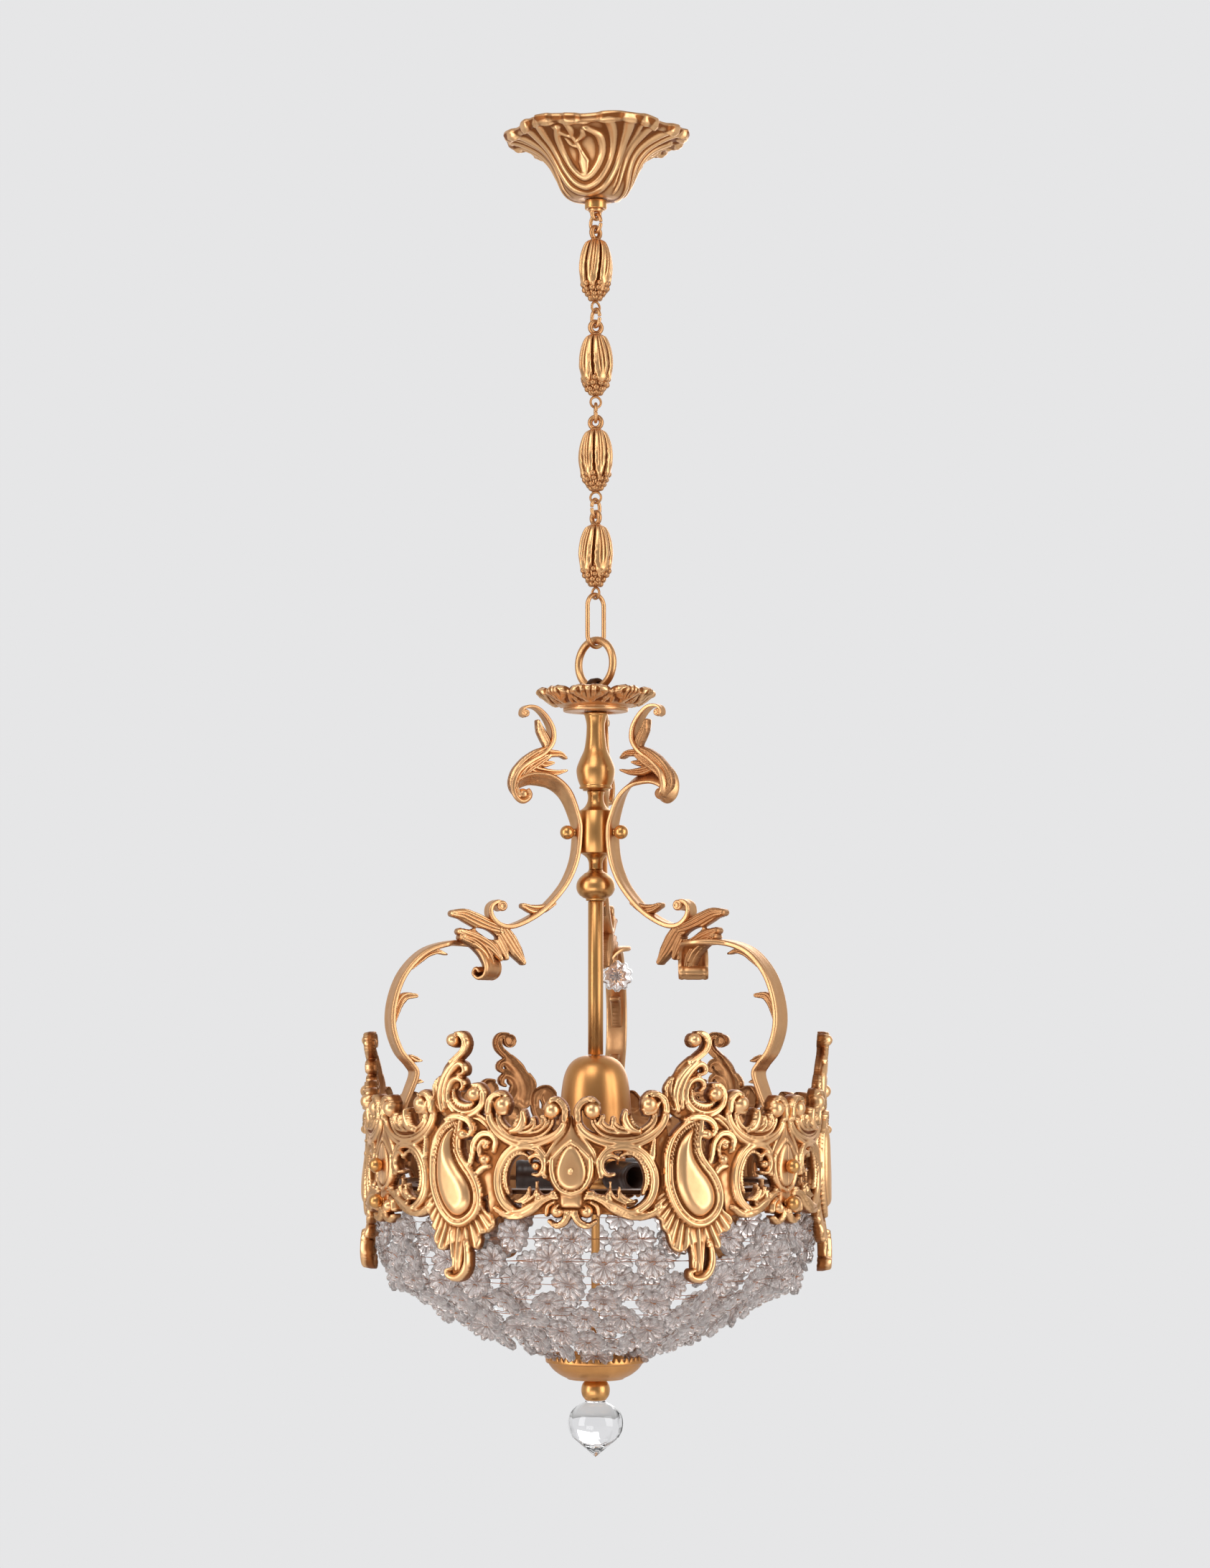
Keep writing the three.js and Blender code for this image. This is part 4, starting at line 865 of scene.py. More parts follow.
def leaf_cup():
    """Two profiles are blended across each leaf: one through its middle, which rises and rolls over in
    a thick lip, one through the notch beside it; curled fronds of round section stand on the outside."""
    tip = curve([(22, 0), (23.8, 0.3), (24.2, 2), (23.8, 3.1), (26.5, 4.2), (32.5, 6.4), (37, 9.4), (40, 12),
                 (42.3, 13.2), (43.4, 14.8), (42.8, 16.8), (41, 17.6), (39, 16.6), (36.6, 13.2), (31, 9.2),
                 (24.6, 5.6), (20, 2.8)], 130)
    notch = curve([(22, 0), (23.8, 0.3), (24.2, 2), (23.8, 3.1), (25.4, 3.9), (29.4, 5.6), (33.4, 8.2),
                   (36, 10.4), (37.6, 11.2), (38.4, 12.2), (38, 13.4), (36.8, 13.8), (35.2, 13), (33, 10.8),
                   (28.6, 7.8), (24, 5.2), (20, 2.8)], 130)
    leaf = Relief(0, 22, 0, 30, 0.75)
    for mirror in (1, -1):
        for widths, rise, line in (([1.4, 2.4, 2.8, 2.6, 1.6], 2.4,
                                    [(10.4, 1), (9, 8), (5.2, 14), (3.4, 20), (6, 25)]),
                                   ([1, 1.6, 1.8, 1], 2, [(3.2, 2), (2, 8), (0.6, 15), (0, 22)]),
                                   ([1.2, 1.6, 1], 2.8, [(10, 6), (8.4, 14), (8, 24)])):
            leaf.ribbon([(11 + mirror * (a - 11), u) for a, u in line], widths, rise)
        leaf.ball(11 + mirror * 6, 24, 2.6, 3)
    leaf.ribbon([(11, 3), (11, 12), (11, 26)], [0.8, 1.2, 1.4], 3)
    leaf.ball(11, 26, 3, 3.2)
    turn = np.linspace(0, 2 * np.pi, 29 * cup_leaves + 1)[None]
    across = cup_leaves * turn / (2 * np.pi) + 0.12 * np.sin(2 * turn) + 0.08 * np.sin(3 * turn + 1)
    across = across % 1 * 2 - 1
    blend = np.maximum(1 - across ** 2, 0) ** 0.5
    radius = notch[:, :1] * (1 - blend) + tip[:, :1] * blend
    level = notch[:, 1:] * (1 - blend) + tip[:, 1:] * blend
    share = np.linspace(0, 1, 130)[:, None]
    rise = np.clip((share - 0.17) / 0.44, 0, 1)
    swirl = (across + 1) / 2 + 0 * rise
    row = np.rint(rise * (leaf.height.shape[0] - 1)).astype(int) + 0 * turn.astype(int)
    column = np.rint(swirl * (leaf.height.shape[1] - 1)).astype(int)
    outside = np.clip((share - 0.17) / 0.05, 0, 1) * np.clip((0.62 - share) / 0.08, 0, 1)
    carve = leaf.height[row, column] * outside
    radius = radius + carve * 0.55 * (0.6 + 0.5 * rise)
    level = level - carve * 0.55
    hole = np.full((1, turn.shape[1]), 3.6)
    radii = np.concatenate([hole, radius, hole, hole])
    levels = np.concatenate([hole * 0, level, hole * 0 + cup_flange, hole * 0]) + cup_level
    sunk = np.zeros(radii.shape)
    # Painted shade in the carving's hollows, lighter on raised parts, and an even painted shade over the
    # inside of the dish.
    sunk[1:-2] = hollows(carve, 3, 0.9, True) * outside + 0.25 * (share > 0.68)
    return revolved(radii, levels, turn), sunk.reshape(-1)


cup_shape, cup_sunk = leaf_cup()
piece("acanthus_cup", cup_shape, cup_gilt, "gilt_bronze", "leaf_cup", painted_shade=cup_sunk)


# Stem: baluster, hub, ball and tube of turned and polished bronze, threaded one above the other on the
# steel centre rod. Small fillets and steps between them keep the lathe's crisp edges.

bore = 3.45


def stem_part(name, outline, top, finish, node, columns=96):
    """A turned part with its outline smoothed between its crisp steps and the rod's bore through it."""
    outline = np.asarray(outline, float)
    outline[:, 1] = top - outline[:, 1]
    return piece(name,
                 ring_turned(np.vstack([[bore, outline[0, 1]], outline, [bore, outline[-1, 1]]]), columns),
                 finish, "polished_bronze", node)


baluster_curve = curve([(8.1, 2.8), (6.9, 8), (6.8, 13), (7.3, 20), (8.6, 27.7), (11.6, 34.5), (13.9, 40.6),
                        (14.2, 44.8), (13.1, 50.4), (11.4, 54.7)], 40)
stem_part("baluster",
          np.vstack([[(8, 0), (8.7, 0.4), (8.9, 1.2), (8.7, 2), (8.1, 2.4)], baluster_curve,
                     [(12, 55.3), (12.2, 56), (11.8, 56.6), (9.6, 57), (9.4, 58.1)]]),
          cup_level - gap, polished_gilt, "stem_baluster")
hub_curve = curve([(6.4, 0.6), (5.7, 4), (6.2, 8), (8.2, 11.6), (10.6, 13.6)], 16)
hub_end = curve([(9.6, 46.8), (6.4, 49.6), (5, 53.4), (5, 57)], 14)
stem_part("hub",
          np.vstack([[(6.2, 0)], hub_curve,
                     [(12.2, 14.4), (12.8, 15), (12.8, 45.4), (12.3, 46), (10.6, 46.2)], hub_end,
                     [(5, 57.7)]]), -494, polished_gilt, "stem_hub")
ball_curve = curve([(9, 3.4), (12.2, 6.4), (14.1, 10.4), (14.1, 14.6), (12.2, 18.4), (9, 20.9)], 28)
stem_part("ball_knop",
          np.vstack([[(5.2, 0), (5.6, 1.2), (7.2, 2.2), (8.2, 2.6)], ball_curve,
                     [(7.6, 21.2), (7.2, 21.8), (7.2, 22.6), (6.8, 23)]]), -552, polished_gilt, "stem_ball")
stem_part("stem_pipe", [(5.3, 0), (5.6, 0.3), (5.6, 112.5), (5.3, 112.8)], -575.3, polished_gilt, "stem_tube",
          64)


# Bell: a spun cover in satin-polished bronze, open below. It hangs on the rod under the tube and hides
# the lamp cluster.

bell_gilt = metal("satin_gilt", colour(230, 168, 104), colour(150, 92, 46), 0.34, 0.00003, 0.2, 0.2)
bell_top = -688.4
bell_outer = curve([(5, 0), (9.4, 0.6), (14.2, 2.4), (18.6, 6), (21.9, 11.6), (24, 19), (25.4, 29.6),
                    (26.3, 42.6), (27.4, 56.2), (29, 66.9)], 60)
bell_inner = curve([(27.4, 66.9), (25.8, 56.2), (24.6, 42.6), (23.6, 29), (22, 19), (19.4, 11.6), (15, 5.4),
                    (8, 2.4)], 40)
bell_outline = np.vstack([[(bore, 0)], bell_outer, bell_inner, [(bore, 1.8)]]) * [1, -1] + [0, bell_top]
piece("bell", ring_turned(bell_outline, 128), bell_gilt, "polished_bronze", "bell_cover")


# Three arms, each forged and cast from flat gilt bronze strap in one plane: a crest with a curled tip,
# an S that passes the hub and ends in a scroll, leaves round a slanted eye, and a long sweep to the foot.

arm_gilt = metal("arm_gilt", gilt_light, gilt_deep, 0.38, painted_shade=1.3)
hub_level, strap_at_hub, foot_radius = -525.0, 15.1, 158.0
boss_level = -766.3


def strap(points, count, thicks, widths, ridge=0.0, twists=(0, 0), reeds=(0, 0)):
    """A strap in the plane of radius and height: its section is a superellipse, nearly a rectangle with
    soft corners, whose half-thickness and half-width change evenly along the line. Twists turn the section
    about the line, in degrees, and reeds add that much of a cosine across its faces."""
    line = curve([(r, 0, z) for r, z in points], count)
    along = np.gradient(line, axis=0)
    along /= np.linalg.norm(along, axis=1)[:, None]
    side = np.column_stack([along[:, 2], 0 * along[:, 0], -along[:, 0]])
    share = np.linspace(0, 1, count)

    def spread(values):
        return np.interp(share, np.linspace(0, 1, len(values)), values)[:, None]

    turn = np.linspace(0, 2 * np.pi, 52, endpoint=False)
    out = np.sign(np.cos(turn)) * np.abs(np.cos(turn)) ** 0.45
    over = np.sign(np.sin(turn)) * np.abs(np.sin(turn)) ** 0.5
    dished = (1 - ridge * (1 - np.abs(over)) ** 2
              + spread(reeds) * np.cos(5 * np.pi * over) * (np.abs(over) < 0.9))
    thick, wide = spread(thicks) / 2 * out * dished, spread(widths) / 2 * over
    twist = np.radians(spread(twists))
    in_plane = thick * np.cos(twist) + wide * np.sin(twist)
    across = wide * np.cos(twist) - thick * np.sin(twist)
    return tube(line[:, None] + side[:, None] * in_plane[..., None] + np.array([0, 1, 0]) * across[..., None])


def from_hub(points):
    """Places drawn from the middle of the strap at the hub screw."""
    return [(strap_at_hub + r, hub_level + z) for r, z in points]


def from_foot(points):
    """Places drawn from the arm's foot, level with the crown's bosses."""
    return [(foot_radius + r, boss_level + z) for r, z in points]


def scroll_end(centre, radius, half_width):
    """The rolled end of a scroll: a short barrel across the arm with rounded, dished ends."""
    profile = [(0, -half_width + 0.8), (radius * 0.45, -half_width + 0.5), (radius * 0.62, -half_width),
               (radius * 0.9, -half_width + 0.5), (radius, -half_width + 1.6), (radius * 0.93, 0),
               (radius, half_width - 1.6), (radius * 0.9, half_width - 0.5), (radius * 0.62, half_width),
               (radius * 0.45, half_width - 0.5), (0, half_width - 0.8)]
    points, faces = turned(curve(profile, 36), 28)
    return points[:, [0, 2, 1]] + np.array([centre[0], 0, centre[1]]), faces[:, ::-1]


def flank(relief, thick):
    """A flat ornament in the arm's plane, carved alike on both flanks."""
    def right(across, up, height):
        return np.stack([across, thick + height, up], axis=-1)

    def left(across, up, height):
        return np.stack([across, -thick - height, up], axis=-1)

    start = np.unravel_index(np.argmax(relief.inside), relief.inside.shape)
    (points, faces), sunk = casting(relief, right, left, start)
    return (points, faces if volume(points, faces) > 0 else faces[:, ::-1]), sunk


def swung(points, centre, near, far, degrees):
    """Points turned about the upright line at a radius, by an angle that fades between two radii."""
    share = np.clip((far - points[:, 0]) / (far - near), 0, 1)
    turn = np.radians(degrees) * share ** 2 * (3 - 2 * share)
    ahead, aside = points[:, 0] - centre, points[:, 1]
    return np.column_stack([centre + ahead * np.cos(turn) + aside * np.sin(turn),
                            aside * np.cos(turn) - ahead * np.sin(turn), points[:, 2]])


def leaf_cluster():
    """Reeded leaves that spread like wings where the sweep starts, with a slanted eye between them."""
    relief = Relief(48, 124, -634, -578, 0.5)

    def reeded(points, widths, rise, kind="fronds", base=0.6):
        relief.ribbon(from_hub(points), widths, rise, kind, base)

    reeded([(61, -72.5), (72, -69.3), (82, -65.2), (91, -61.6), (98.6, -61)], [3.4, 5, 5.4, 4.8, 2.6], 2.8)
    reeded([(93.5, -74), (85, -76.6), (76, -80.5), (68, -86), (61.5, -93.5)], [2.6, 3.8, 4.2, 4, 1.8], 2.8)
    reeded([(60, -72.5), (54.5, -80), (49.5, -87.5), (43.6, -96)], [4.8, 5.6, 4.8, 2], 2.8)
    reeded([(64, -78), (60, -85), (57, -92.8)], [4, 4.2, 1.8], 2.6)
    reeded([(92, -78.4), (83, -81.6), (75.4, -87.6), (71, -95), (70, -102)], [2.6, 4, 4.6, 4.4, 3.4], 4)
    reeded([(84, -83), (76, -89), (72, -96)], [1, 1.6, 1], 2.2, "round", 3.2)
    relief.panel(from_hub([(56, -72), (70, -71), (84, -72), (84, -78), (72, -84), (60, -80)]),
                 lambda depth, a, u: 0.4 + 0 * depth)
    relief.opening(from_hub([(64.2, -79), (67, -75.5), (73, -72.2), (80, -71), (81.4, -72.4), (77.6, -75.6),
                             (70.6, -79.4)]))
    return flank(relief, 2.2)


def crest_leaf():
    """The acanthus leaf that fills the bend of the crest, with a frond towards the stem."""
    relief = Relief(20, 74, -506, -436, 0.5)

    def reeded(points, widths, rise=2.4, kind="gouge"):
        relief.ribbon(from_hub(points), widths, rise, kind, 0.5)

    reeded([(24, 61), (33, 56.5), (42, 49.5), (49, 41.5), (51, 33), (47.5, 26)],
           [2.4, 3.8, 4.6, 4.4, 3.8, 2.4], 3.4, "fronds")
    reeded([(23, 56), (32, 50.5), (40, 45), (46, 38)], [2, 3.8, 3.6, 1.6], 3, "fronds")
    reeded([(31, 57), (26, 57.6), (19.6, 57.8), (14, 57.4), (9.6, 54.6)], [2.4, 3, 2.8, 2.2, 1], 3)
    reeded([(33, 51), (26, 50), (20, 50.8)], [2, 2.8, 1.2], 2.4)
    reeded([(38, 46.4), (29, 44), (18, 43.6), (9.5, 45.4)], [2.6, 3.2, 2.4, 1], 2.6)
    reeded([(24, 61), (25.5, 67), (29.5, 74), (32, 81)], [2.4, 3.6, 3.2, 1.4], 2.8, "fronds")
    return flank(relief, 1.5)


def tendril_leaf(points, widths, box):
    """One small leaf that springs from the strap."""
    relief = Relief(*box, 0.5)
    relief.ribbon(points, widths, 1.8, "gouge", 0.4)
    return flank(relief, 2.2)


def arm():
    crest = from_hub([(42.2, 84.2), (44.8, 85.8), (43.6, 90), (38.6, 91.8), (32.5, 90.4), (26, 84.6),
                      (21.2, 76), (21, 66.5), (27.4, 58), (38.5, 51), (47.5, 43.5), (51, 35), (50.2, 28),
                      (46, 24), (41.6, 26.4), (43.2, 29.4)])
    body = from_hub([(49.9, 32.4), (43.5, 36.8), (34.5, 39), (20.9, 37), (9.4, 28), (2.1, 12), (0, 0),
                     (1.9, -18.5), (7.9, -34), (16.5, -46), (28.5, -57.5), (41.5, -65.5), (53.5, -69.8),
                     (63, -68.6), (69.3, -62.5), (69.5, -55.5), (64.5, -52), (59.6, -54), (60.6, -58)])
    sweep = from_hub([(72, -103), (75.4, -100.4), (77.4, -104.4), (73, -107.6), (67.6, -105), (66.4, -98),
                      (71.4, -89.4), (78, -84.6), (85.5, -82.9), (100.9, -82.6)])
    turn_down = [(-22, -89), (-6.5, -104), (1.6, -123), (3.2, -142)]
    sweep += [(foot_radius + r, hub_level + z) for r, z in turn_down]
    sweep += from_foot([(-2.5, 82), (-11.5, 71.5), (-15, 64.9), (-11, 53), (-6, 41), (-2.2, 27), (-0.4, 15),
                        (0, 6), (0, -14), (0, -32)])
    scroll_radius = strap_at_hub + 72
    scroll = strap(sweep, 300, [2.6, 3.4, 4, 4.4, 4.4, 4.2, 4.2, 4, 4, 4],
                   [21, 22, 18, 16, 16, 16, 16, 15, 15, 15], 0.2, reeds=(0.16, 0.2, 0.1, 0.05, 0, 0, 0, 0, 0))
    cluster, cluster_sunk = leaf_cluster()

    def swing(points):
        return swung(points, scroll_radius, scroll_radius + 4, scroll_radius + 34, 54)

    shapes = [(strap(crest, 190, [2, 2.6, 3.4, 3.8, 3.6, 3.2, 3.6, 4.2, 4.2, 3],
                     [7, 8, 10, 12, 13, 13, 15, 17, 16, 12], 0.3, (0, 0, 0, 0, 0, -10, -22, -30)), None),
              (strap(body, 240, [2.6, 3.6, 4, 4, 4, 4, 4.2, 4.2, 4, 3],
                     [11, 15, 15, 15, 14, 13, 13, 13, 12, 10], 0.25, (40, 34, 12, 0, 0, 0, 0, 0, 0)), None),
              ((swing(scroll[0]), scroll[1]), None), (scroll_end(from_hub([(61.4, -55)])[0], 3.9, 6.2), None),
              (scroll_end(from_hub([(42.4, 86.6)])[0], 2.9, 4.6), None),
              (sphere((strap_at_hub + 43.4, 0, hub_level + 27), 4.4, 24, 16), None), (cluster, cluster_sunk),
              crest_leaf(),
              tendril_leaf(from_hub([(19, -52.5), (28, -56.4), (36, -57), (43.4, -54.6)]), [1.4, 3.2, 3.4, 2],
                           (30, 66, -588, -570)),
              tendril_leaf([(foot_radius + 1.6, hub_level - 141), (foot_radius - 1.5, hub_level - 129),
                            (foot_radius - 7, hub_level - 121.4), (foot_radius - 15.5, hub_level - 120.6)],
                           [1.2, 2.8, 3.2, 1.6], (136, 166, -674, -636)),
              tendril_leaf([(foot_radius - 12, hub_level - 101), (foot_radius - 22, hub_level - 91.8),
                            (foot_radius - 31, hub_level - 88.6), (foot_radius - 39, hub_level - 90.6)],
                           [1, 2.6, 2.4, 0.7], (114, 150, -632, -604)),
              tendril_leaf([(foot_radius - 12, boss_level + 77), (foot_radius - 16, boss_level + 75),
                            (foot_radius - 20, boss_level + 74)], [1.6, 2.2, 0.6], (134, 154, -700, -682)),
              tendril_leaf([(foot_radius - 13, boss_level + 58), (foot_radius - 17, boss_level + 59.6),
                            (foot_radius - 21, boss_level + 59)], [1.6, 2.2, 0.6], (132, 152, -714, -698))]
    whole = together(*[shape for shape, _ in shapes])
    sunk = np.concatenate([np.zeros(len(shape[0])) if part is None else part for shape, part in shapes])
    return whole, sunk


arm_angles = (-60, 60, 180)
arm_shape, arm_sunk = arm()
for number, arm_angle in enumerate(arm_angles, 1):
    piece(f"scrolled_arm_{number}", at_front(arm_shape, arm_angle), arm_gilt, "gilt_bronze", f"arm_{number}",
          painted_shade=arm_sunk)


# Ball-headed screws, each turned from one piece of polished bronze: one holds each arm to the hub, two
# hold it to the crown.


def ball_screw(head_at, tip_at, height):
    """A ball on a small collar and a threaded shank, turned about the X axis."""
    ball, pitch = 5.25, 0.7
    polar_turn = np.linspace(np.pi - 0.5, 0, 26)
    head = np.column_stack([ball * np.sin(polar_turn), head_at + ball * np.cos(polar_turn)])
    threads = np.arange(tip_at + pitch, head_at - 6.4, pitch / 2)
    crests = np.where(np.arange(len(threads)) % 2, 1.98, 1.68)
    shank = np.column_stack([crests, threads])
    neck = [(2, head_at - 6), (2.9, head_at - 5.6), (3, head_at - 5.2), (2.7, head_at - 4.7)]
    profile = np.vstack([[(0, tip_at), (1.5, tip_at + 0.05)], shank, neck, head])
    points, faces = turned(profile, 32)
    return points[:, [2, 1, 0]] * [1, 1, -1] + np.array([0, 0, height]), faces


# Where each ball's middle and each shank's tip lie, from the stem's axis, and the step between two rows.
hub_reach, crown_reach, screw_step = (22.95, 7.4), (171.85, 154.5), 25.6
for number, arm_angle in enumerate(arm_angles, 1):
    piece(f"hub_ball_screw_{number}", at_front(ball_screw(*hub_reach, hub_level), arm_angle), polished_gilt,
          "polished_bronze", f"hub_screw_{number}")
    for row, level in (("upper", boss_level), ("lower", boss_level - screw_step)):
        shape = at_front(ball_screw(*crown_reach, level), arm_angle)
        piece(f"crown_ball_screw_{row}_{number}", shape, polished_gilt, "polished_bronze",
              f"crown_screw_{row}_{number}")


# The pierced crown: three castings in gilt bronze, each a third of the ring, chased and burnished.
# A motif runs from boss to boss: acanthus scrolls, a pierced C-scroll each side, a cartouche between.
# Ball-headed screws through the end bosses hold neighbouring castings to the arms.

crown_gilt = metal("crown_gilt", gilt_light, gilt_deep, 0.38, painted_shade=1.6)
crown_back, crown_face = 160.3, 163.7
motif_radius = 166.0
motif = motif_radius * math.pi / 3
cartouche_at = motif / 2 - 86.9
right_stretch = 0.9
crown_low, crown_high, crown_cell = -81, 97, 0.86


class Carver:
    """Carves into a relief what is drawn to the right of a place, or mirrored to its left."""

    def __init__(self, relief, at, side=1, stretch=1.0):
        self.relief, self.at, self.side, self.stretch = relief, at, side, stretch

    def drawn(self, points):
        points = np.asarray(points, float)
        return np.column_stack([self.at + self.side * points[:, 0] * self.stretch, points[:, 1]])

    def strokes(self, *drawings):
        """Each drawing is a ribbon's points, widths, rise, section, base and pitch."""
        for points, *rest in drawings:
            self.relief.ribbon(self.drawn(points), *rest)

    def knob(self, across, up, *rest, over=False):
        self.relief.ball(self.at + self.side * across * self.stretch, up, *rest, over=over)

    def sheet(self, points, form, **more):
        self.relief.panel(self.drawn(points), form, **more)

    def opening(self, points):
        self.relief.opening(self.drawn(points))


def boss_side(carver):
    """All that flanks a boss: plate webs, acanthus C, pierced C-scroll and the volute at the foot."""
    for web in ([(6, 27), (20, 21), (45, 19), (62, 28), (68, 14), (60, 4), (52, 12), (40, 17), (24, 14),
                 (14, 4), (8, 8)],
                [(55, 30), (66, 34), (70, 0), (66, -32), (58, -30), (58, 0)],
                [(4, -20), (14, -17), (22, -22), (36, -28), (48, -27), (60, -22), (64, -30), (48, -35),
                 (26, -31), (10, -30)], [(8, 8), (17, 8), (21, 2), (21, -6), (16, -9), (10, -14)]):
        carver.sheet(web, lambda depth, a, u: 0.5 + 0.1 * np.sin(a) * np.sin(u))

    carver.strokes(
        ([(4.5, 38), (6, 30), (11.5, 24), (21, 19.5), (33, 17), (46, 18.5), (57, 24), (64.5, 32.5), (66, 42),
          (62, 49.5), (55.5, 51.5), (51, 48)],
         [2.4, 3.1, 3.8, 4.2, 4.2, 4, 3.6, 3.4, 3.2, 2.6], 4.6, "rim", 0.6),
        ([(17, 40), (15.5, 33), (20, 27), (28, 23.5), (38, 23), (48, 25), (56, 31), (58, 38), (54, 43)],
         [1.6, 2.6, 3, 3.2, 3.2, 3, 2.8, 2.2, 1.2], 4.2, "gouge", 0.8),
        ([(22, 36), (20.8, 32), (25, 28), (33, 25.6)], [2, 2.8, 2.8, 1.4], 4.4, "gouge", 1.6),
        ([(29.4, 34.6), (29.6, 30.6), (33.4, 27.6), (40, 25.6)], [2, 2.8, 2.8, 1.4], 4.6, "gouge", 1.8),
        ([(37.6, 39.4), (37.4, 34), (41, 28), (47, 26)], [2.2, 3.8, 3.8, 1.8], 5.2, "round", 1.6),
        ([(41, 38), (43, 32), (48, 28)], [0.6, 1, 0.6], 5.8, "round", 2.2),
        ([(5, 34), (4.6, 41), (8.4, 46.6), (14.4, 48), (19.4, 44.8)], [2.6, 2.8, 2.6, 2.2, 1.2], 5.6, "rim",
         2.4))
    carver.knob(14.6, 40.6, 6.4, 7.4, 1.6, over=True)
    carver.strokes(([(66, 40), (64.4, 47.6), (59, 51.4), (52.6, 50.6)], [2.8, 2.8, 2.4, 1.2], 5.4, "rim",
                    2.2))
    carver.knob(54, 44.4, 6.2, 7.4, 1.6, over=True)

    carver.strokes(
        ([(61, 46), (58, 40), (52, 38), (49, 41)], [1.4, 1.8, 1.8, 1], 4.2, "round", 1.4),
        ([(20.5, -5), (19.5, 5), (24, 12.5), (32, 15.5), (42.5, 15), (51.5, 9.5), (57.5, -1), (58, -13),
          (53.5, -23), (44, -29), (34, -28.5), (27.5, -23), (25.5, -17)],
         [2, 2.6, 3, 3.4, 3.6, 3.8, 3.8, 3.8, 3.8, 3.6, 3, 2.4, 1.6], 4.2, "rim", 1),
        ([(35, 9.5), (42, 10.5), (48, 6), (51.5, -1), (52.5, -9), (50, -17)], [1.6, 2.8, 3.2, 3.2, 2.6, 1.2],
         3.4, "ribs", 0.4, 2.1),
        ([(33.5, 3), (32.5, 7.5), (27.5, 9.5), (22.5, 6.5), (21.5, 1), (25, -3.8), (30, -3.5)],
         [1.6, 1.9, 2, 2, 2, 1.9, 1.2], 3.6, "round", 1.2))
    carver.knob(27.8, 2.2, 3.2, 5.2)
    carver.strokes(
        ([(27, -9), (26, -15), (30, -21), (38, -24.5)], [1, 2.6, 2.8, 1.2], 3.6, "gouge", 1),
        ([(34, -12.5), (33.5, -17), (38, -21), (45, -22.5)], [0.8, 2, 2.2, 1], 3.4, "gouge", 1),
        ([(61, -27), (52, -31.5), (41, -31.5), (30, -26.5), (21, -20), (12, -17.5), (5, -20.5), (2.2, -28),
          (5, -35.5), (11.5, -38.5), (17, -35.5)],
         [1.6, 2.4, 3, 3.4, 3.6, 3.6, 3.4, 3.2, 3, 2.6, 1.6], 4.6, "reeds", 0.8))
    carver.knob(10.8, -28.6, 4.8, 6.4, 0.8, over=True)
    carver.strokes(
        ([(19, -31), (18, -25.5), (13.5, -22.5)], [1.6, 1.8, 1], 4, "round", 1),
        ([(24, -22), (30, -24), (38, -28), (46, -29)], [1, 2, 2, 0.8], 3.4, "round", 2.4))


def boss(relief, at):
    """The plain pear-shaped boss that takes the screws, with its collar, hood and raised oval."""
    half = [(0, 38), (3, 28.5), (9.3, 20.8), (15.2, 15), (17.7, 6), (17.7, -2.7), (14.6, -9.8), (11.6, -15),
            (9.2, -18.8), (8.4, -24), (9.4, -27.5)]
    outline = [(at + a, u) for a, u in half] + [(at - a, u) for a, u in half[:0:-1]]
    relief.panel(outline, lambda depth, a, u: 2.6 * (1 - np.exp(-np.maximum(depth, 0) / 1.6)), over=True)
    for side in (-1, 1):
        Carver(relief, at, side).strokes(
            ([(13.5, 8), (14, 0), (12, -8), (7, -14.5), (0, -17)], [1.2, 1.9, 2, 1.9, 1.9], 2.4, "round",
             1.6),
            ([(0, 19), (4.5, 15.5), (9, 11.5), (13, 7.5), (16.5, 5)], [1.4, 1.3, 1.2, 1.1, 0.6], 1.5, "round",
             2.2),
            ([(17, 4), (16, 11), (11, 18.5), (5.5, 25), (2.5, 34)], [1.3, 1.4, 1.3, 1.1, 0.6], 1.4, "round",
             1.6))
    oval = [(0, 17), (3.6, 15.4), (6.6, 11.4), (9.2, 5.5), (10.8, -1.4), (9.6, -8.6), (5.6, -13.4), (0, -15)]
    oval = [(at + a, u) for a, u in oval] + [(at - a, u) for a, u in oval[-2:0:-1]]
    relief.panel(oval, lambda depth, a, u: 1.1 + 3 * np.sqrt(1 - (1 - np.clip(depth / 4, 0, 1)) ** 2),
                 over=True)
    relief.ball(at, -1, 1.5, 2, 3.6)


def cartouche(carver):
    """The kidney-shaped cartouche: two mouldings and a groove follow its outline round a burnished dome."""
    def mouldings(depth, a, u):
        outer = 3.4 + 3 * np.sqrt(np.maximum(1 - ((depth - 1.9) / 2) ** 2, 0))
        inner = 3 + 2.6 * np.sqrt(np.maximum(1 - ((depth - 5.2) / 1.5) ** 2, 0))
        beads = 1 - 0.28 * np.clip(u / 8, 0, 1) * (np.cos(2 * np.pi * (a + 0.55 * u) / 2.1) > 0)
        dome = 2.4 + 6.6 * np.sqrt(1 - (1 - np.clip((depth - 7.2) / 7.5, 0, 1)) ** 2)
        return np.where(depth < 3.85, outer, np.where(depth < 7.1, inner * beads, dome))

    carver.sheet([(84.5, 35.5), (90, 36.5), (94, 33), (93.2, 26), (92, 19), (93, 11.5), (97.5, 4.5),
                  (102.5, -1.5), (107, -9), (109.3, -17.5), (108.5, -26.5), (103.5, -34.5), (94.5, -40),
                  (84.5, -39.5), (75.5, -33), (69.5, -24), (65.5, -13), (64.5, -1), (65.5, 12), (69.5, 23),
                  (76.5, 31)], mouldings, over=True, smooth=160)
    carver.strokes(([(79, 33.5), (86, 36), (93, 35.5), (99, 33), (102.3, 28), (100.5, 23.5), (97, 22.6)],
                    [1, 2.4, 2.8, 2.8, 2.4, 2, 1.6], 4.6, "rim", 3.4, 1.7, True))
    carver.knob(95.4, 23.6, 4.3, 6.4, 3)


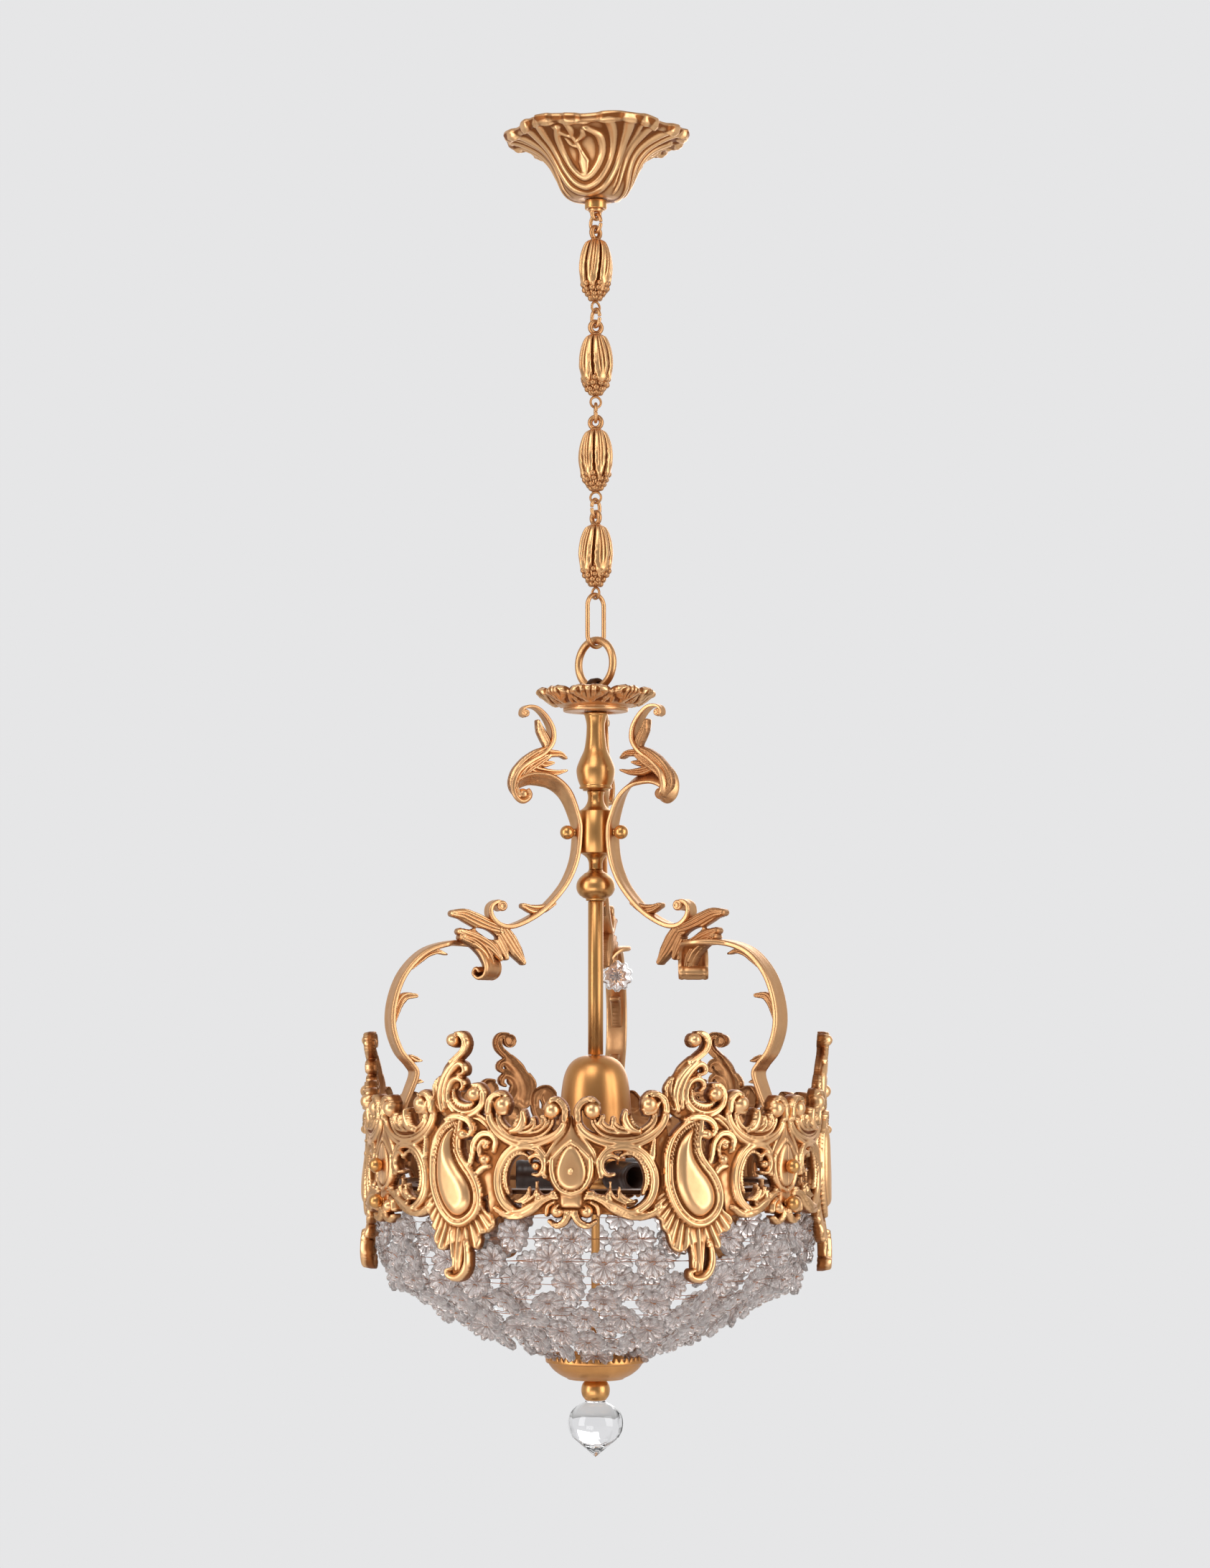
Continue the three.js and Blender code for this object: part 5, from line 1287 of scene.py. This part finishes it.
def shell_skirt(carver):
    """The fluted shell that flares out under the cartouche, and the tail that curls up at its end."""
    def flutes(depth, a, u):
        aside, down = a - carver.at - 86.5, u + 5
        turn = np.arctan2(aside, -down) * 24
        edge = np.clip(depth / 1.2, 0, 1)
        ribs = np.abs(np.cos(turn + 0.5 * np.sin(0.21 * turn))) ** 0.8
        return (0.8 + 2.1 * ribs * edge + 0.075 * (np.hypot(aside, down) - 30)).clip(0.3, 6)

    carver.sheet([(57, -24), (58.6, -31), (62.4, -35), (64, -41), (66.8, -44), (68.5, -51), (71.5, -55.6),
                  (76, -57.4), (80.5, -55.6), (84, -52.5), (94, -51), (100, -54), (106, -55.6), (108.4, -50),
                  (108, -45.5), (114.6, -43.6), (118.6, -38), (117, -32.5), (111, -28), (108, -20), (86, -8),
                  (66, -14)], flutes, smooth=120)
    carver.strokes(
        ([(90, -40), (89.5, -52), (89.6, -61), (89, -70)], [9, 7, 5.2, 4.4], 2.6, "reeds", 1.4),
        ([(84, -44), (85, -54), (86.4, -62)], [1.2, 1.5, 0.8], 2.4, "round", 2),
        ([(90, -42), (90, -53), (89.6, -64)], [1.2, 1.6, 0.8], 2.6, "round", 2),
        ([(97.4, -50), (99, -57), (99, -65), (96, -72), (90, -75.8), (84, -74.6), (82.6, -70.6),
          (85.6, -69.4)], [1.4, 2, 2.4, 2.8, 3, 2.8, 2.2, 1.4], 5, "round", 2.2))


def plume(carver):
    """The acanthus plume over the cartouche, hooked round a ball at its tip, and the scroll with a ribbed
    throat that cradles it."""
    carver.sheet([(71, 38), (67.4, 45), (66.6, 53), (68.2, 60.6), (72.4, 64.6), (76, 70.4), (81, 75),
                  (86, 78.2), (90, 77), (92.6, 72), (90, 66), (89.4, 60), (88, 55), (83, 52), (81.5, 44),
                  (86, 39), (95, 36), (86, 34), (78, 34)],
                 lambda depth, a, u: 1 + 0.8 * np.clip(depth / 2.5, 0, 1), smooth=120)
    carver.strokes(
        ([(72, 42), (68.8, 49), (68, 56), (70.6, 62.6)], [2, 3, 3, 1.2], 3.4, "gouge", 1),
        ([(75, 40), (73, 50), (75.5, 60), (81, 68), (87.6, 74)], [1.8, 2.6, 2.8, 2.6, 1.4], 4, "round", 1.6),
        ([(84, 73.6), (90, 77.6), (95, 82), (96.6, 87.6), (93.8, 92.4), (88.4, 93.2)],
         [2.2, 2.9, 3, 3, 2.8, 1.8], 4.6, "rim", 1.4))
    carver.knob(86.4, 88.6, 5.2, 7, 1, over=True)
    carver.strokes(
        ([(78, 42), (77, 52), (80, 61.5), (85.6, 69), (91, 72.4), (95, 70), (94.6, 66), (90, 65)],
         [1.6, 2.2, 2.5, 2.6, 2.7, 2.6, 2.2, 1.2], 4, "round", 1.6),
        ([(81, 45), (80.6, 53), (83.6, 59.6), (88.6, 62), (93.4, 60), (94, 56), (91.4, 54)],
         [1.4, 2, 2.4, 2.5, 2.4, 2, 1.2], 4, "round", 1.6),
        ([(82, 57), (80.6, 49), (84.4, 42), (92.5, 38), (101.5, 38.6), (108.5, 43.6), (110.4, 51), (107, 57),
          (101.6, 57.6)], [1.6, 2.6, 3, 3.2, 3.2, 3, 2.9, 2.6, 1.6], 5, "rim", 1.2),
        ([(85, 54), (86, 47), (92, 43.4), (99, 43.6), (103.5, 46.4)], [1, 2.8, 3.2, 2.8, 1.4], 3.6, "ribs",
         0.8, 1.9))
    carver.knob(103.2, 51.4, 5.8, 7.6, 1.4, over=True)


def small_volute(carver):
    """The small scroll between the cartouche and the next pierced C, with the leaves that tie them."""
    carver.sheet([(97, 36), (104, 35), (111, 30), (118, 20), (121, 8), (118, -4), (113, -16), (107, -20),
                  (103, -6), (98, 4), (101, 9), (104, 3), (107, 8), (103, 15), (101, 24)],
                 lambda depth, a, u: 0.5 + 0 * depth, smooth=90)
    carver.strokes(
        ([(99, 3), (101, 10), (102.5, 18), (108, 23.8), (115, 24), (119.5, 19.5), (118, 12)],
         [2, 2.4, 2.6, 2.7, 2.6, 2.4, 1.6], 4.2, "rim", 1),
        ([(107, 9), (106.5, 15), (110, 19.4), (114.6, 18)], [1.2, 1.8, 1.8, 1.2], 3.8, "round", 1))
    carver.knob(111.8, 15.6, 3, 5.6)
    carver.knob(110.5, 6.2, 4.3, 6)
    carver.strokes(
        ([(98, 36), (106, 35.5), (112.5, 31), (116, 26)], [2, 2.8, 2.8, 1.2], 3.8, "gouge", 1),
        ([(103, -5), (108, 0), (114, 1.5)], [2.6, 2.8, 1.6], 2.8, "round", 0.8),
        ([(58, 20), (56.8, 11), (57, 1)], [1.6, 2.8, 1.4], 3.2, "ribs", 1, 1.9),
        ([(62, -26), (56, -31), (48, -34)], [3, 2.6, 1.4], 3, "ribs", 0.8, 1.9))


def crown_motif():
    """The carved ground from one boss to the next."""
    relief = Relief(0, motif, crown_low, crown_high, crown_cell)
    centre = Carver(relief, cartouche_at)
    flanks = (Carver(relief, 0), Carver(relief, motif, -1, right_stretch))
    shell_skirt(centre)
    small_volute(centre)
    plume(centre)
    for flank_carver in flanks:
        boss_side(flank_carver)
    for outline in ([(34, 7), (40, 9.5), (46, 6), (49.5, 0), (51, -7), (49, -15), (44, -19), (38, -18),
                     (33.5, -11), (32, -3)],
                    [(22, -8), (26.5, -9), (26, -14), (22, -17), (16.5, -15.5), (16.5, -11.5)]):
        for flank_carver in flanks:
            flank_carver.opening(outline)
    cartouche(centre)
    boss(relief, 0)
    boss(relief, motif)
    return relief


def crown_third(start_angle, relief):
    """Two motifs bent round the ring: across becomes an angle, height adds to the radius; the back
    follows the front a little, as a sand casting's does, and the tips and the tail lean out."""
    def at(radius, across, up):
        turn = math.radians(start_angle) + across / motif_radius
        return np.stack([radius * np.sin(turn), -radius * np.cos(turn), boss_level + up], axis=-1)

    def lean(up):
        return 2.6 * np.clip((up - 42) / 50, 0, 1) ** 1.5 + 2 * np.sin(np.clip((-42 - up) / 36, 0, 1) * 2.4)

    def front(across, up, height):
        return at(crown_face + height + lean(up), across, up)

    def back(across, up, height):
        hollow = np.clip(blurred(height, 2) - 2.4, 0, 3.2)
        return at(crown_back + 0.8 * hollow + lean(up), across, up)

    return casting(relief, front, back, (int(-crown_low / crown_cell), 4))


one = crown_motif()
pair = Relief(0, 2 * motif, crown_low, crown_high, crown_cell)
for layer in ("across", "up", "inside", "height"):
    values = getattr(one, layer)
    shift = motif if layer == "across" else 0
    setattr(pair, layer, np.concatenate([values, values[:, 1:] + shift], axis=1))
pair.across = np.clip(pair.across, 0.15, 2 * motif - 0.15)
for number, arm_angle in enumerate(arm_angles, 1):
    cast, sunk = crown_third(arm_angle, pair)
    piece(f"crown_casting_{number}", cast, crown_gilt, "gilt_bronze", f"crown_segment_{number}", painted_shade=sunk)


# Behind the crown: a dark flat hoop that braces the arm feet, the turned cluster on the rod, and three
# brown resin lamp holders that point outwards, each with a contact stub in its mouth.

hoop_outline = rounded([(132, -780.8), (155.7, -780.8), (155.7, -783.8), (132, -783.8)], 0.8)
piece("brace_hoop", ring_turned(hoop_outline, 192), dark_bronze, "dark_bronze", "inner_hoop")
cluster_outline = [(bore, -760.3), (17, -760.3), (18, -760.7), (20.6, -762.9), (21.6, -763.3), (22, -764.3),
                   (22, -769.3), (21.2, -770.3), (21.2, -779.3), (22, -780.3), (22, -784.3), (21, -785.3),
                   (17, -788.7), (14, -790.3), (bore, -790.3)]
piece("holder_cluster", ring_turned(cluster_outline, 72), bell_gilt, "gilt_bronze", "lamp_cluster")

resin, resin_shader, resin_start, resin_place = new_finish("brown_resin")
resin_cloud = resin_start.noise(resin_place, 90.0, 4.0)
resin_cloud.blend(colour(62, 36, 24), colour(34, 20, 14)).feed(resin_shader, "Base Color")
(resin_cloud * 0.15 + 0.28).feed(resin_shader, "Roughness")
resin_start.bump(resin_start.noise(resin_place, 1600.0, 2.0), 0.4, 0.00004).feed(resin_shader, "Normal")

holder_outline = np.vstack([
    [(0, 0), (6.2, 0), (6.6, 0.6), (6.6, 2), (9.6, 3.6), (10.8, 5), (11, 6)],
    [(11 - 0.5 * (step % 2), 8 + 0.9 * step) for step in range(24)],
    [(11, 31), (11, 33.6), (10.6, 35), (9.8, 36), (8.2, 36), (7.5, 35.4), (7.5, 14), (3, 14), (3, 17),
     (0, 17.4)]])
holder_points, holder_faces = turned(holder_outline, 48)
holder = (holder_points[:, [2, 1, 0]] * [1, 1, -1], holder_faces)
holder_start, holder_level, holder_turn = 22.3, -775.8, -84.3
for number in (1, 2, 3):
    angle = holder_turn + 120 * (number - 1)
    shape = (holder[0] + np.array([holder_start, 0, holder_level]), holder[1])
    piece(f"resin_lamp_holder_{number}", at_front(shape, angle), resin, "brown_resin",
          f"lamp_holder_{number}")


# The bowl: nine rows of pressed clear glass flowers, each threaded on copper wire through its middle and
# tied to the next row. The glass has a greyish mauve tint and a soft, fire-polished surface.

glass, glass_shader, glass_start, glass_place = new_finish("flower_glass")
glass_cloud = glass_start.noise(glass_place, 55.0, 3.0)
clear_tint = glass_cloud.blend(colour(255, 253, 252), colour(246, 234, 228))
# The seams between petals and the middle round the wire are painted darker, as shade.
glass_start.painted_shade().held().blend(clear_tint, colour(132, 92, 76)).feed(glass_shader, "Base Color")
(glass_cloud * 0.08 + 0.01).feed(glass_shader, "Roughness")
glass_start.bump(glass_start.noise(glass_place, 300.0, 2.0), 0.3, 0.0003).feed(glass_shader, "Normal")
glass_shader.inputs["Transmission Weight"].default_value = 0.86
glass_shader.inputs["IOR"].default_value = 1.6

copper = metal("copper_wire", colour(196, 128, 84), colour(90, 50, 34), 0.34, 0.00002, 0.4)

petals = 10
flower_radius = 12.5


def flower():
    """A pressed flower: the edge's radius is a row of half waves, one for each petal; each petal is a
    small dome, sunk at the seams, and the middle dips to the wire; the back is nearly flat. The second
    result is how near a point lies to a seam or to the wire: the glass takes it as painted shade."""
    turn = np.linspace(0, 2 * np.pi, 3 * petals + 1)[None]
    petal = np.abs(np.sin(petals * turn / 2))
    edge = flower_radius * (0.84 + 0.16 * petal ** 0.7)
    share = np.array([0, 0.16, 0.42, 0.7, 0.92, 1, 0.9, 0.5, 0])[:, None]
    height = (np.array([0.6, 1.3, 2.6, 3.5, 2.9, 0.8, -1, -1.4, -1.2])[:, None]
              + np.array([0, 0.5, 1.5, 2.1, 1.7, 0.5, -0.3, -0.1, 0])[:, None] * (petal - 0.6))
    seam = np.clip(1 - petal * 1.25, 0, 1) * (share > 0.1) * 0.6 + 0.6 * np.exp(-(share / 0.2) ** 2)
    return revolved(edge * share, height, turn), seam.reshape(-1)


bowl_radius = 157.1
below_boss = [(0, -48), (-3.2, -68), (-14.7, -86), (-39.2, -100), (-66.2, -116)]
boss_line = [(bowl_radius + r, boss_level + z) for r, z in below_boss]
bowl_line = curve(boss_line + [(55, -895.6), (36, -901.8)], 400)
flower_rows = ((0, 26, 0), (0.099, 26, 0), (0.213, 26, 0), (0.344, 23, -0.8), (0.482, 20, 0.8),
               (0.617, 17, -0.8), (0.748, 13, 0.8), (0.876, 9, -0.8), (1, 6, 0.8))
(flower_points, flower_faces), flower_seam_shade = flower()
random = np.random.default_rng(7)


def placed(points, turn, centre, along, out):
    """Points drawn on a flower's own sideways, upward and outward directions, at a place on the bowl."""
    front = np.array([math.sin(turn), -math.cos(turn), 0])
    side = np.array([math.cos(turn), math.sin(turn), 0])
    up = -(front * along[0] + np.array([0, 0, along[1]]))
    outward = front * out[0] + np.array([0, 0, out[1]])
    return front * centre[0] + np.array([0, 0, centre[1]]) + points @ np.array([side, up, outward])


def copper_strand(line):
    """Thin wire with five sides along any curve in space."""
    toward = np.gradient(line, axis=0)
    toward /= np.linalg.norm(toward, axis=1)[:, None]
    upright = np.cross(toward, [0.3, 0.2, 1])
    upright /= np.linalg.norm(upright, axis=1)[:, None]
    aside = np.cross(toward, upright)
    corner = np.linspace(0, 2 * np.pi, 5, endpoint=False)[:, None]
    sides = copper_radius * (upright[:, None] * np.cos(corner) + aside[:, None] * np.sin(corner))
    return tube(line[:, None] + sides)


def varied_flower():
    """The flower's points turned in its own plane, scaled, tilted and shifted, by chance."""
    tilt = random.normal(0, 0.18, 2)
    size = 0.88 + 0.2 * random.random()
    spin = random.random() * 2 * math.pi
    cos, sin = math.cos(spin), math.sin(spin)
    points = flower_points @ np.array([[cos, sin, 0], [-sin, cos, 0], [0, 0, 1]])
    points[:, 2] += points[:, 0] * tilt[0] + points[:, 1] * tilt[1]
    points[:, :2] *= size
    points[:, 1:] += random.normal(0, 1, 2) * [1.6, 0.8]
    return points


copper_radius = 0.26
facing = 0.45
behind_flower = np.array([[-12.5, 0, -0.6], [-6.5, 0.4, -1.8], [0, 0, -2], [6.5, -0.4, -1.8]])
for row, (share, count, layer) in enumerate(flower_rows, 1):
    spot = share * (len(bowl_line) - 1)
    low = int(min(spot, len(bowl_line) - 2))
    step = bowl_line[low + 1] - bowl_line[low]
    along = step / np.linalg.norm(step)
    out = np.array([-along[1], along[0]])
    centre = bowl_line[low] + (spot - low) * step + out * layer
    out = (out + [facing, 0]) / np.linalg.norm(out + [facing, 0])
    along = np.array([out[1], -out[0]])
    flowers, ring_line, loops = [], [], []
    for number in range(count):
        turn = math.radians(360 * (number + ((row - 1) % 2) / 2 + random.normal(0, 0.09)) / count)
        flowers.append((placed(varied_flower(), turn, centre, along, out), flower_faces))
        lean = random.normal(0, 0.5)
        knot = [(-2.2, -0.6, 1), (-1.1, 0.2 + lean * 0.3, 2.7), (0, 0.5, 3.3), (1.2, 0, 2.6),
                (1.6, -1.4, 1.8), (0.4, -2, 1.6)]
        ring_line.append(placed(behind_flower, turn, centre, along, out))
        loops.append(placed(curve(knot, 9), turn, centre, along, out))
    piece(f"glass_flowers_{row}", together(*flowers), glass, "clear_glass", f"flower_row_{row}",
          painted_shade=np.tile(flower_seam_shade, count))
    strands = [copper_strand(line) for line in (np.vstack(ring_line + [ring_line[0][:1]]), *loops)]
    piece(f"copper_wires_{row}", together(*strands), copper, "polished_bronze")


# Loose flower: one of the same glass, whose wire is caught on the rear arm's scroll. It stands upright
# against the strap and stays with it.

loose_points = flower_points[:, [0, 2, 1]] * [1, -1, 1] * 0.98 + np.array([9, 71.2, -629])
piece("loose_glass_flower", (loose_points, flower_faces[:, ::-1]), glass, "clear_glass", "arm_flower")


# Bottom plate and rod: a turned gilt dish whose rim is notched into teeth that hold the wires. It sits
# on the steel rod that runs down from the leaf cup through the whole stem.

plate_bottom, teeth = -924.4, 48


def toothed_plate():
    """The dish's profile turned about the rod; the rim's height falls in a narrow V at each notch
    between two teeth."""
    outer = curve([(10, 0), (19.4, 0.3), (21.4, 1.3), (26, 3.6), (30.8, 7.2), (33.8, 10.8), (34.6, 12.2),
                   (35.9, 12.5), (36.5, 13.4), (36.5, 14.4)], 48)
    rim = np.array([(36.5, 17.4), (36.2, 18), (35.4, 18), (35, 17.2)])
    inner = curve([(34.6, 15), (31, 10.6), (24, 7.4), (10, 6)], 24)
    turn = np.linspace(0, 2 * np.pi, teeth * 8 + 1)[None]
    notch = np.abs((teeth * turn / (2 * np.pi)) % 1 - 0.5) * 2
    drop = 3 * np.clip(1.6 - notch / 0.36, 0, 1)
    profile = np.vstack([[(bore, 0)], outer, rim, inner, [(bore, 6), (bore, 0)]]) + [0, plate_bottom]
    low = np.zeros((len(profile), 1))
    low[1 + len(outer):1 + len(outer) + len(rim)] = 1
    return revolved(profile[:, :1], profile[:, 1:] - low * drop, turn)


piece("toothed_dish", toothed_plate(), bell_gilt, "gilt_bronze", "bottom_plate")
piece("steel_rod",
      turned([[0, -432.5], [2.8, -432.5], [3.15, -432.9], [3.15, -932.6], [2.8, -932.9], [0, -932.9]], 40),
      polished_gilt, "steel", "centre_rod")


# Finial: a polished bronze ball, screwed on the rod's end under the plate, and below it a clear cut-glass
# drop with shallow flutes and an eight-sided point.

ball_outline = np.vstack([[(0, -9.2), (bore, -9.2), (bore, 0), (7.2, 0)],
                          curve([(7.8, -0.5), (9.8, -3.4), (10.5, -7.3), (9.8, -11.2), (7.8, -14.1)], 26),
                          [(7.2, -14.6), (0, -14.6)]]) + [0, plate_bottom - gap]
piece("finial_knop", turned(ball_outline, 64), polished_gilt, "polished_bronze", "finial_ball")


finial_top = -939.6


def cut_finial():
    """Radius is the drop's profile less shallow flutes between eight ridges; towards the point the
    section turns from round to eight-sided, whose flat facets meet at the tip."""
    profile = curve([(7.4, 0), (8.2, -1.2), (13.4, -3.8), (18.2, -8.6), (20.2, -14.6), (19.6, -21.2),
                     (17.2, -26.2)], 40)
    point = np.linspace([17.0, -26.6], [0, -40.8], 14)
    profile = np.vstack([[(0, 0)], profile, point])
    turn = np.linspace(0, 2 * np.pi, 129)[None]
    wedge = (8 * turn / (2 * np.pi)) % 1 - 0.5
    share = np.clip((profile[:, 1:] + 1.4) / -22, 0, 1)
    flute = 0.75 * (1 - (2 * wedge) ** 2) * share
    faceted = np.cos(np.pi / 8) / np.cos(wedge * np.pi / 4)
    is_point = (profile[:, 1:] < -26.4)
    radius = np.where(is_point, profile[:, :1] * faceted, profile[:, :1] - flute)
    radius = np.where(profile[:, :1] < 0.01, 0, radius)
    return revolved(radius, profile[:, 1:] + finial_top, turn)


crystal, crystal_shader, crystal_start, crystal_place = new_finish("cut_crystal")
crystal_cloud = crystal_start.noise(crystal_place, 60.0, 3.0)
crystal_cloud.blend(colour(252, 252, 252), colour(236, 236, 238)).feed(crystal_shader, "Base Color")
(crystal_cloud * 0.04 + 0.01).feed(crystal_shader, "Roughness")
crystal_shader.inputs["Transmission Weight"].default_value = 1
crystal_shader.inputs["IOR"].default_value = 1.5
piece("crystal_finial", cut_finial(), crystal, "clear_glass", "glass_finial", flat_angle=30)
